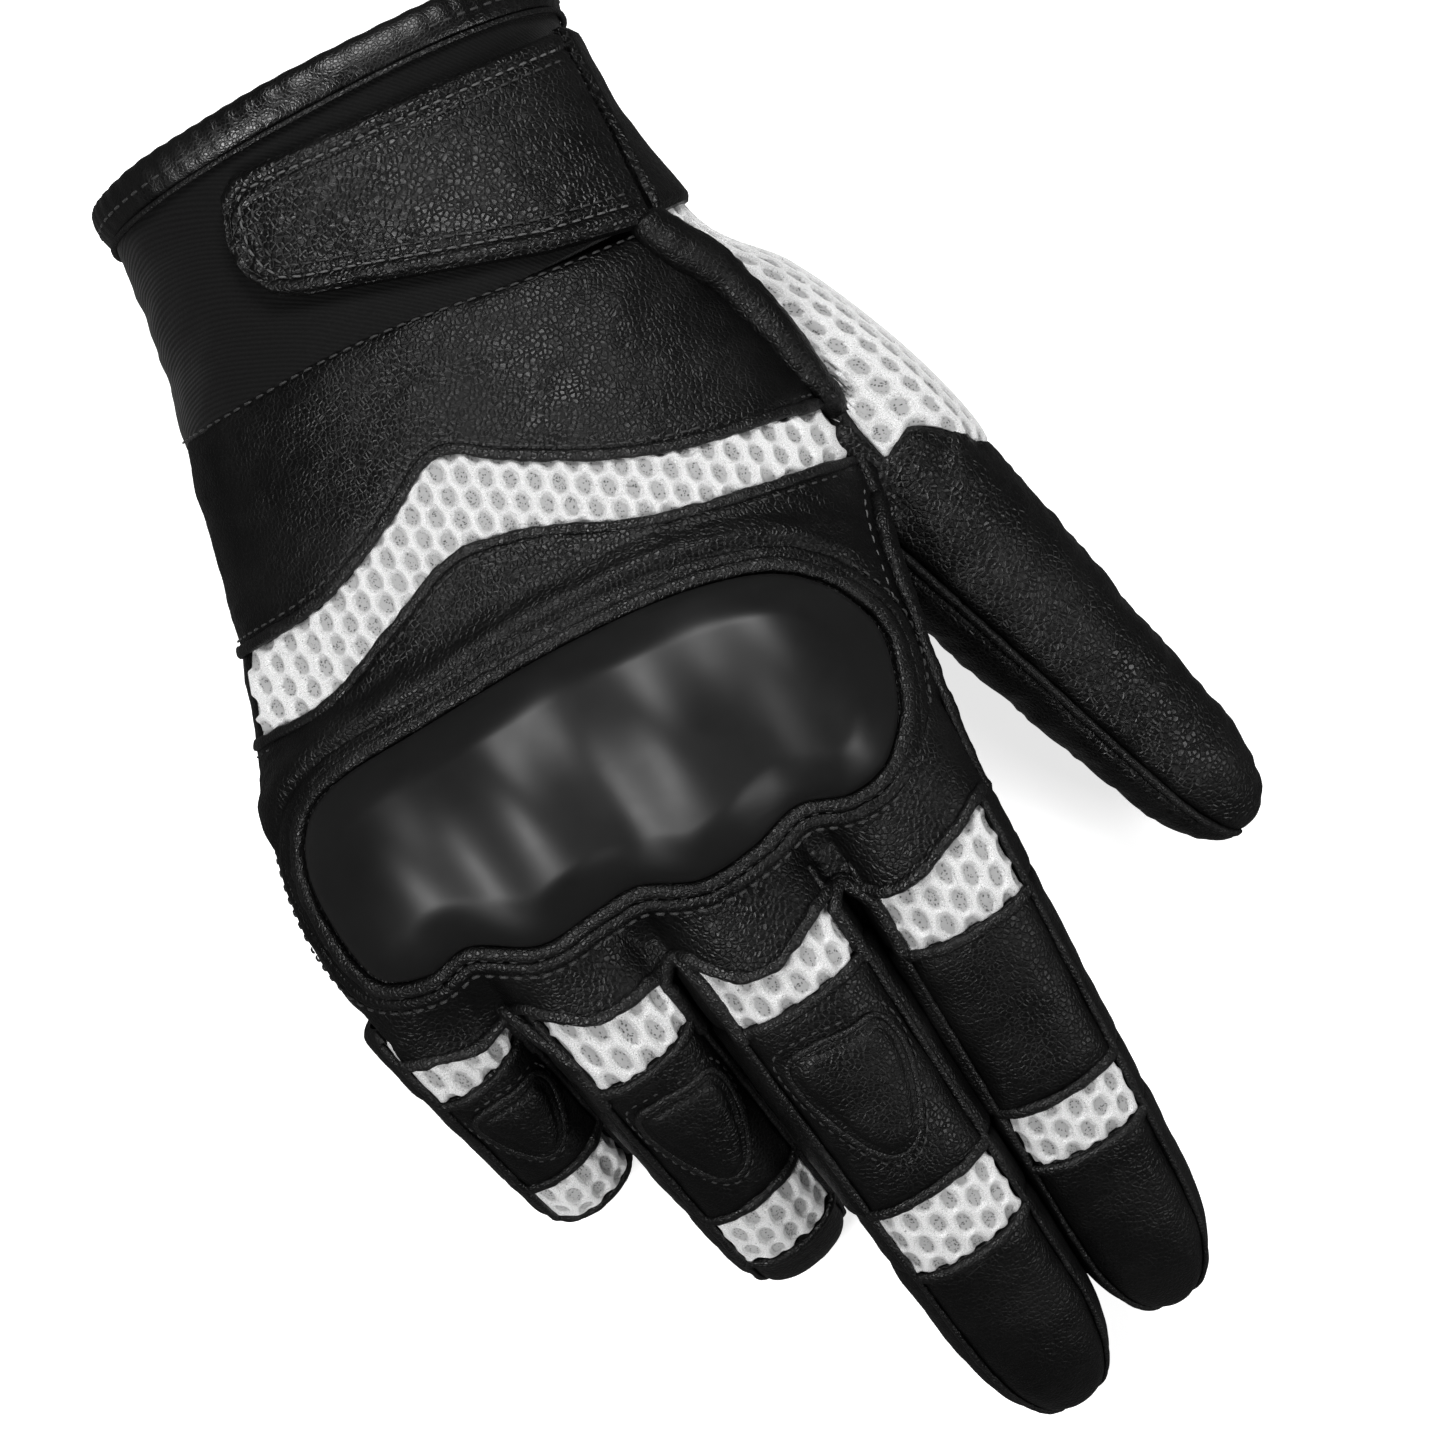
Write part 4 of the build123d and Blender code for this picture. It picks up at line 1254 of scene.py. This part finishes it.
def pad_pieces(d):
    """Raised stitched pad on a finger: crowned leather, a corded outline and its stitches."""
    ring = pad_outline(d, 1.0)
    centre = ring.mean(axis=0)
    v = np.linspace(0.01, 1, 26)
    flat = centre + (ring[:, None] - centre) * v[None, :, None]
    flat = np.concatenate([flat, flat[:1]])
    base, normal = on_back(d, flat[..., 0], flat[..., 1])
    inside = (1 - v)[None] * np.linalg.norm(flat[:, -1:] - centre, axis=-1)
    up = 0.9 + 1.5 * np.sqrt(1 - (1 - np.clip(inside / 5.5, 0, 1)) ** 2)
    up = up + crumple(base, (4, 4, 4), 91) * 0.12 - 0.35 * np.exp(-(((inside - 1.5) / 0.5) ** 2))
    up[:, -1] = 0.2
    crown = panel(f"{d.name}_pad_crown", base + normal * up[..., None], normal, BLACK, thick=1.4)
    p, n = on_back(d, ring[:, 0], ring[:, 1], 1.1)
    cord = tube(f"{d.name}_pad_cord", p, n, 0.6, 0.55, FOLDED, closed=True, rough=0.12, seed=3)
    outer = pad_outline(d, 1.16)
    p, n = on_back(d, outer[:, 0], outer[:, 1], 0.75)
    row = stitch_row(f"{d.name}_pad_stitches", p, n, THREAD, pitch=2.1, length=1.5, radius=0.2)
    return crown, cord, row


def finger_pieces(name):
    """All the pieces of one finger: those of its segment and tip ride on their bodies, the pieces over its
    joints stay where they are built.
    """
    d = digits[name]
    top, under = (SEAM_TOP, pi - SEAM_TOP), (pi - SEAM_TOP, 2 * pi + SEAM_TOP)
    joints = (
        ("base", "palm", name, -3.0, d.s1, -5.0),
        ("mid", name, f"{name}_end", d.s2, d.s3, d.s2),
    )
    for part, a, b, s_a, s_b, s_wrap in joints:
        start, end = to_row(d.frame(np.array(max(s_a, 0.0)))[0]), to_row(d.frame(np.array(s_b))[0])
        net = digit_net(d, f"{part}_net", s_a - 0.2, s_b + 0.2)
        wrap = digit_panel(d, f"{part}_wrap", s_wrap - 0.4, s_b + 0.4, *under, PALM_SKIN, puff=0.5, width=2.5,
                           shape=creased)
        seams = [long_seam(d, f"{part}_seam_{k}", s_a - 0.4, s_b + 0.4, angle) for k, angle in enumerate(top)]
        for piece in (net, wrap, *seams):
            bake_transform(piece)
        cad = "base" if part == "base" else "tip"
        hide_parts(f"{name}_{cad}_mesh")
        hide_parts(f"{name}_{cad}_crease")
    back = digit_panel(d, "back_leather", d.s1 + 0.2, d.s2 - 0.2, *top, BLACK, puff=0.85, width=4.0)
    front = digit_panel(d, "front_leather", d.s1, d.s2, pi - SEAM_LOW, 2 * pi + SEAM_LOW, PALM_SKIN, puff=0.7)
    side_a = digit_panel(d, "side_a", d.s1, d.s2, SEAM_LOW, SEAM_TOP, BLACK,
                         puff=SIDE_PUFF.get((name, 0), 0.4), width=2.2)
    side_b = digit_panel(d, "side_b", d.s1, d.s2, pi - SEAM_TOP, pi - SEAM_LOW, BLACK,
                         puff=SIDE_PUFF.get((name, 1), 0.4), width=2.2)
    solid = [back, front, side_a, side_b]
    solid += [long_seam(d, f"long_seam_{k}", d.s1 - 0.4, d.s2 + 0.4, a) for k, a in enumerate(top)]
    solid += [across_welt(d, "welt_near", d.s1 + 0.7), across_welt(d, "welt_far", d.s2 - 0.6)]
    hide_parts(f"{name}_back")
    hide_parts(f"{name}_front")
    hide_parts(f"{name}_sidewalls")
    if name != "index":
        pads = pad_pieces(d)
        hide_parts(f"{name}_pad")
        solid += pads
    for piece in solid:
        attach(piece, name)
    end = d.s4 - 0.01
    tip_back = digit_panel(d, "tip_back_leather", d.s3 + 0.2, end, *top, BLACK, puff=0.8, width=4.0,
                           edges=(1, 0, 1, 1))
    tip_front = digit_panel(d, "tip_front_leather", d.s3, end, *under, PALM_SKIN, puff=0.7, width=4.0,
                            edges=(1, 0, 1, 1))
    tips = [tip_back, tip_front, across_welt(d, "welt_tip", d.s3 + 0.7)]
    tips += [long_seam(d, f"tip_seam_{k}", d.s3 - 0.4, end - 0.5, a, half=0.5) for k, a in enumerate(top)]
    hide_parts(f"{name}_tip_back")
    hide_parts(f"{name}_tip_front")
    for piece in tips:
        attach(piece, f"{name}_end")


CROTCHES = {
    ("index", "middle"): (-14.9, 147.9), ("middle", "ring"): (14.0, 145.6), ("ring", "pinky"): (41.9, 140.5),
}


def crotch_pieces(left, right, apex):
    """The rolled strip that turns round the crotch between two fingers, and the dark web under it: the
    crotch's own fabric, carried on between the two fingers as a dark sheet that stands in for the shade in
    the gap.
    """
    a, b = digits[left], digits[right]
    s = np.linspace(13.0, 3.5, 7)
    pa, na = a.at(s, np.full(7, pi - SEAM_TOP - 0.03), 0.7)
    pb, nb = b.at(s[::-1], np.full(7, SEAM_TOP + 0.03), 0.7)
    top = settle_on_fingers(top_point(np.array([apex[0]]), np.array([apex[1]]))[0]) + np.array([0, 0, 0.9])
    up = np.array([[0, 0, 1.0]])
    spine = np.concatenate([pa, top, pb])
    normals = np.concatenate([na, up, nb])
    at = np.linspace(0, len(spine) - 1, 110)
    knots = np.arange(len(spine), dtype=float)
    path = np.stack([curve_through(knots, spine[:, c], at) for c in range(3)], axis=1)
    normals = np.stack([np.interp(at, knots, normals[:, c]) for c in range(3)], axis=1)
    loop = tube(f"crotch_loop_{left}", path, normals, 1.25, 1.15, FOLDED, rough=0.15, seed=90, flat=2.2)
    # The web is partly real and partly painted shade: the crotch's fabric, then a dark sheet between the
    # fingers' sides where the gap would be in shade.
    s = np.linspace(-6.0, 16.0, 30)
    pa, _ = a.at(s, np.full(30, pi - SEAM_TOP), -1.0)
    pb, _ = b.at(s, np.full(30, SEAM_TOP), -1.0)
    t = np.linspace(0, 1, 16)[None, :, None]
    web = pa[:, None] * (1 - t) + pb[:, None] * t
    sag = 4.5 * np.sin(pi * t[..., 0]) ** 0.6 + np.linspace(0, 4, 30)[:, None]
    web = web - np.array([0, 0, 1.0]) * sag[..., None]
    normal = grid_normals(web, np.array([0, 0, 1.0]))
    return loop, panel(f"crotch_web_{left}", web, normal, PALM_SKIN, thick=1.2)


# ---------------------------------------------------------------- thumb

THUMB_SPLIT = 15.0  # length past the base fold where the base piece ends


def thumb_shape(s, angle, base):
    """Folds of the thumb: pleats at its saddle, a seam down its length, a crease at the joint."""
    d = digits["thumb"]
    pleats = 0.5 * np.sin(angle * 11 + noise(base, 7, 5) * 3) * np.exp(-(((s - 5) / 9.0) ** 2))
    creases = np.sin(s * 1.3 + noise(base, 5, 8) * 4) * smoothstep(-4, 12, s)
    pleats = pleats + 0.1 * creases * np.abs(np.cos(angle))
    joint = -0.5 * np.exp(-(((s - (d.s2 + d.s3) / 2) / 2.6) ** 2)) * (0.6 + 0.4 * np.sin(angle * 3))
    hollow = -0.8 * np.exp(-(((angle - THUMB_SEAM) / 0.09) ** 2)) * smoothstep(2, 10, s)
    under = 4.0 * smoothstep(1.5, -0.5, base[..., 1] - gusset_end(base[..., 0]))
    return pleats * smoothstep(-2, 3, s) + joint + hollow - under


THUMB_SEAM = radians(118)  # the long seam on the thumb's back, on its inner side


def thumb_pieces():
    """The thumb: saddle, two long panels and the seam between them, split where the bodies change."""
    d = digits["thumb"]
    split = d.s1 + THUMB_SPLIT
    root, fold = (to_row(d.frame(np.array(v))[0]) for v in (0.0, d.s1))
    knee_a, knee_b = (to_row(d.frame(np.array(v))[0]) for v in (d.s2, d.s3))
    start = -7.0
    spans = (("base", start, split), ("end", split, d.s4 - 0.01))
    for part, s_a, s_b in spans:
        edges = (1, 0, 1, 1) if part == "base" else (0, 0, 1, 1)
        cut = dict(puff=0.6, width=3.0, edges=edges, shape=thumb_shape, wrinkle=0.35)
        outer = digit_panel(d, f"{part}_outer", s_a, s_b, radians(-20), THUMB_SEAM, COARSE, step=0.7, **cut)
        inner = digit_panel(d, f"{part}_inner", s_a, s_b, THUMB_SEAM, radians(340), COARSE, step=0.8, **cut)
        ridge = long_seam(d, f"{part}_ridge", max(s_a, 1.0), s_b - (0.5 if part == "end" else 0), THUMB_SEAM,
                          half=0.7, lift=0.25)
        for piece in (outer, inner, ridge):
            if part == "base":
                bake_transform(piece)
            else:
                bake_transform(piece)
        if part == "base":
            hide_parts("thumb_base_fold", "thumb_outer")
            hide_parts("thumb_inner")
        else:
            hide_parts("thumb_tip_fold", "thumb_tip")


# ---------------------------------------------------------------- everything in its place


def assemble_hand():
    """Builds the pieces that ride on the palm and says which CAD nodes they stand for."""
    pieces = palm_pieces()
    knuckle = knuckle_piece()
    net = back_mesh_piece()
    gusset, thumb_root = gusset_pieces()
    guard = guard_pieces()
    binding, seam, gutter = cuff_pieces()
    loop = patch_piece("loop_tape", -24.0, 17.0, 8.5, 24.5, 0.2, 0.95, LOOP)
    root = strap_root_piece()
    sides = side_pieces()
    pieces += [knuckle, net, gusset, thumb_root, *guard, binding, seam, gutter, loop, root, *sides]
    pieces += [radial_roll(), *hand_welts()]
    for (left, right), apex in CROTCHES.items():
        pieces += crotch_pieces(left, right, apex)
    for piece in pieces:
        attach(piece, "palm")
    for name, *nodes in (
        ("cuff_body", "cuff_fabric"), ("back_leather", "back_panel"), ("knuckle_leather", "knuckle_panel"),
        ("guard_shell", "knuckle_guard", "knuckle_foam"), ("guard_lip_2", "guard_frame"),
        ("back_mesh_net", "back_mesh"), ("thumb_gusset_net", "thumb_gusset_mesh"),
        ("rim_binding", "cuff_binding"),
        ("loop_tape", "loop_patch"), ("strap_root", "strap_root_tab"), ("palm_skin", "palm_panel"),
        ("ulnar_side", "side_panel"),
    ):
        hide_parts(*nodes)
    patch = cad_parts["palm_heel_patch"]
    patch.data.materials.clear()
    patch.data.materials.append(PALM_SKIN)


def assemble_strap():
    for piece in strap_pieces():
        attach(piece, "strap")
    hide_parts("strap")
    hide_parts("hook_patch")


assemble_hand()
assemble_strap()
for finger in FINGERS:
    finger_pieces(finger)
thumb_pieces()

# ---------------------------------------------------------------- stage, lights and camera


def studio():
    """White floor and soft lights from all round."""
    floor_material = Nodes("floor_white", Roughness=0.9, Specular_IOR_Level=0.0)
    speckle = floor_material.noise(40, 2)
    floor_material.set("Base Color", floor_material.mix(speckle, grey(0.93), grey(0.95)))
    floor_material.set("Emission Color", grey(1.0))
    floor_material.set("Emission Strength", 0.75)
    bpy.ops.mesh.primitive_plane_add(size=6.0, location=(0, 0, -0.0005))
    floor = bpy.context.object
    floor.name = "floor"
    floor.data.materials.append(floor_material.material)
    floor.visible_glossy = False  # black leather isn't greyed by the bright floor beside it
    world = bpy.data.worlds.new("studio")
    bpy.context.scene.world = world
    world.use_nodes = True
    world.node_tree.nodes["Background"].inputs[0].default_value = (1, 1, 1, 1)
    world.node_tree.nodes["Background"].inputs[1].default_value = 0.1
    for name, at, aim, size, power in (
        ("key", (-0.22, -0.55, 0.75), (0, 0, 0.04), 0.35, 6.8),
        ("crown", (0.36, 0.12, 0.85), (0, 0, 0.05), 0.26, 6.0),
        ("rim", (-0.55, 0.5, 0.45), (0, 0, 0.04), 0.3, 2.4),
    ):
        lamp = bpy.data.lights.new(name, "AREA")
        lamp.energy, lamp.size = power, size
        obj = bpy.data.objects.new(name, lamp)
        obj.location = at
        obj.rotation_euler = (Vector(aim) - Vector(at)).to_track_quat("-Z", "Y").to_euler()
        bpy.context.scene.collection.objects.link(obj)


CAMERA_HEIGHT = 3.0  # metres above the back of the hand, so that nothing is foreshortened


def camera():
    """Straight above, with the fingers pointing down and to the right of the picture."""
    data = bpy.data.cameras.new("camera")
    data.sensor_width, data.lens = 36.0, 36.0 * CAMERA_HEIGHT / 0.231
    obj = bpy.data.objects.new("camera", data)
    up = Vector((-0.469, -0.883, 0.0)).normalized()
    back = Vector((0, 0, 1))
    right = up.cross(back)
    turn = Matrix((right, up, back)).transposed().to_4x4()
    aim = to_row((-10.2, 116.4, 48.5))
    obj.matrix_world = Matrix.Translation(Vector(aim) + back * CAMERA_HEIGHT) @ turn
    bpy.context.scene.collection.objects.link(obj)
    bpy.context.scene.camera = obj


studio()
camera()
bpy.context.scene.view_settings.view_transform = "Standard"
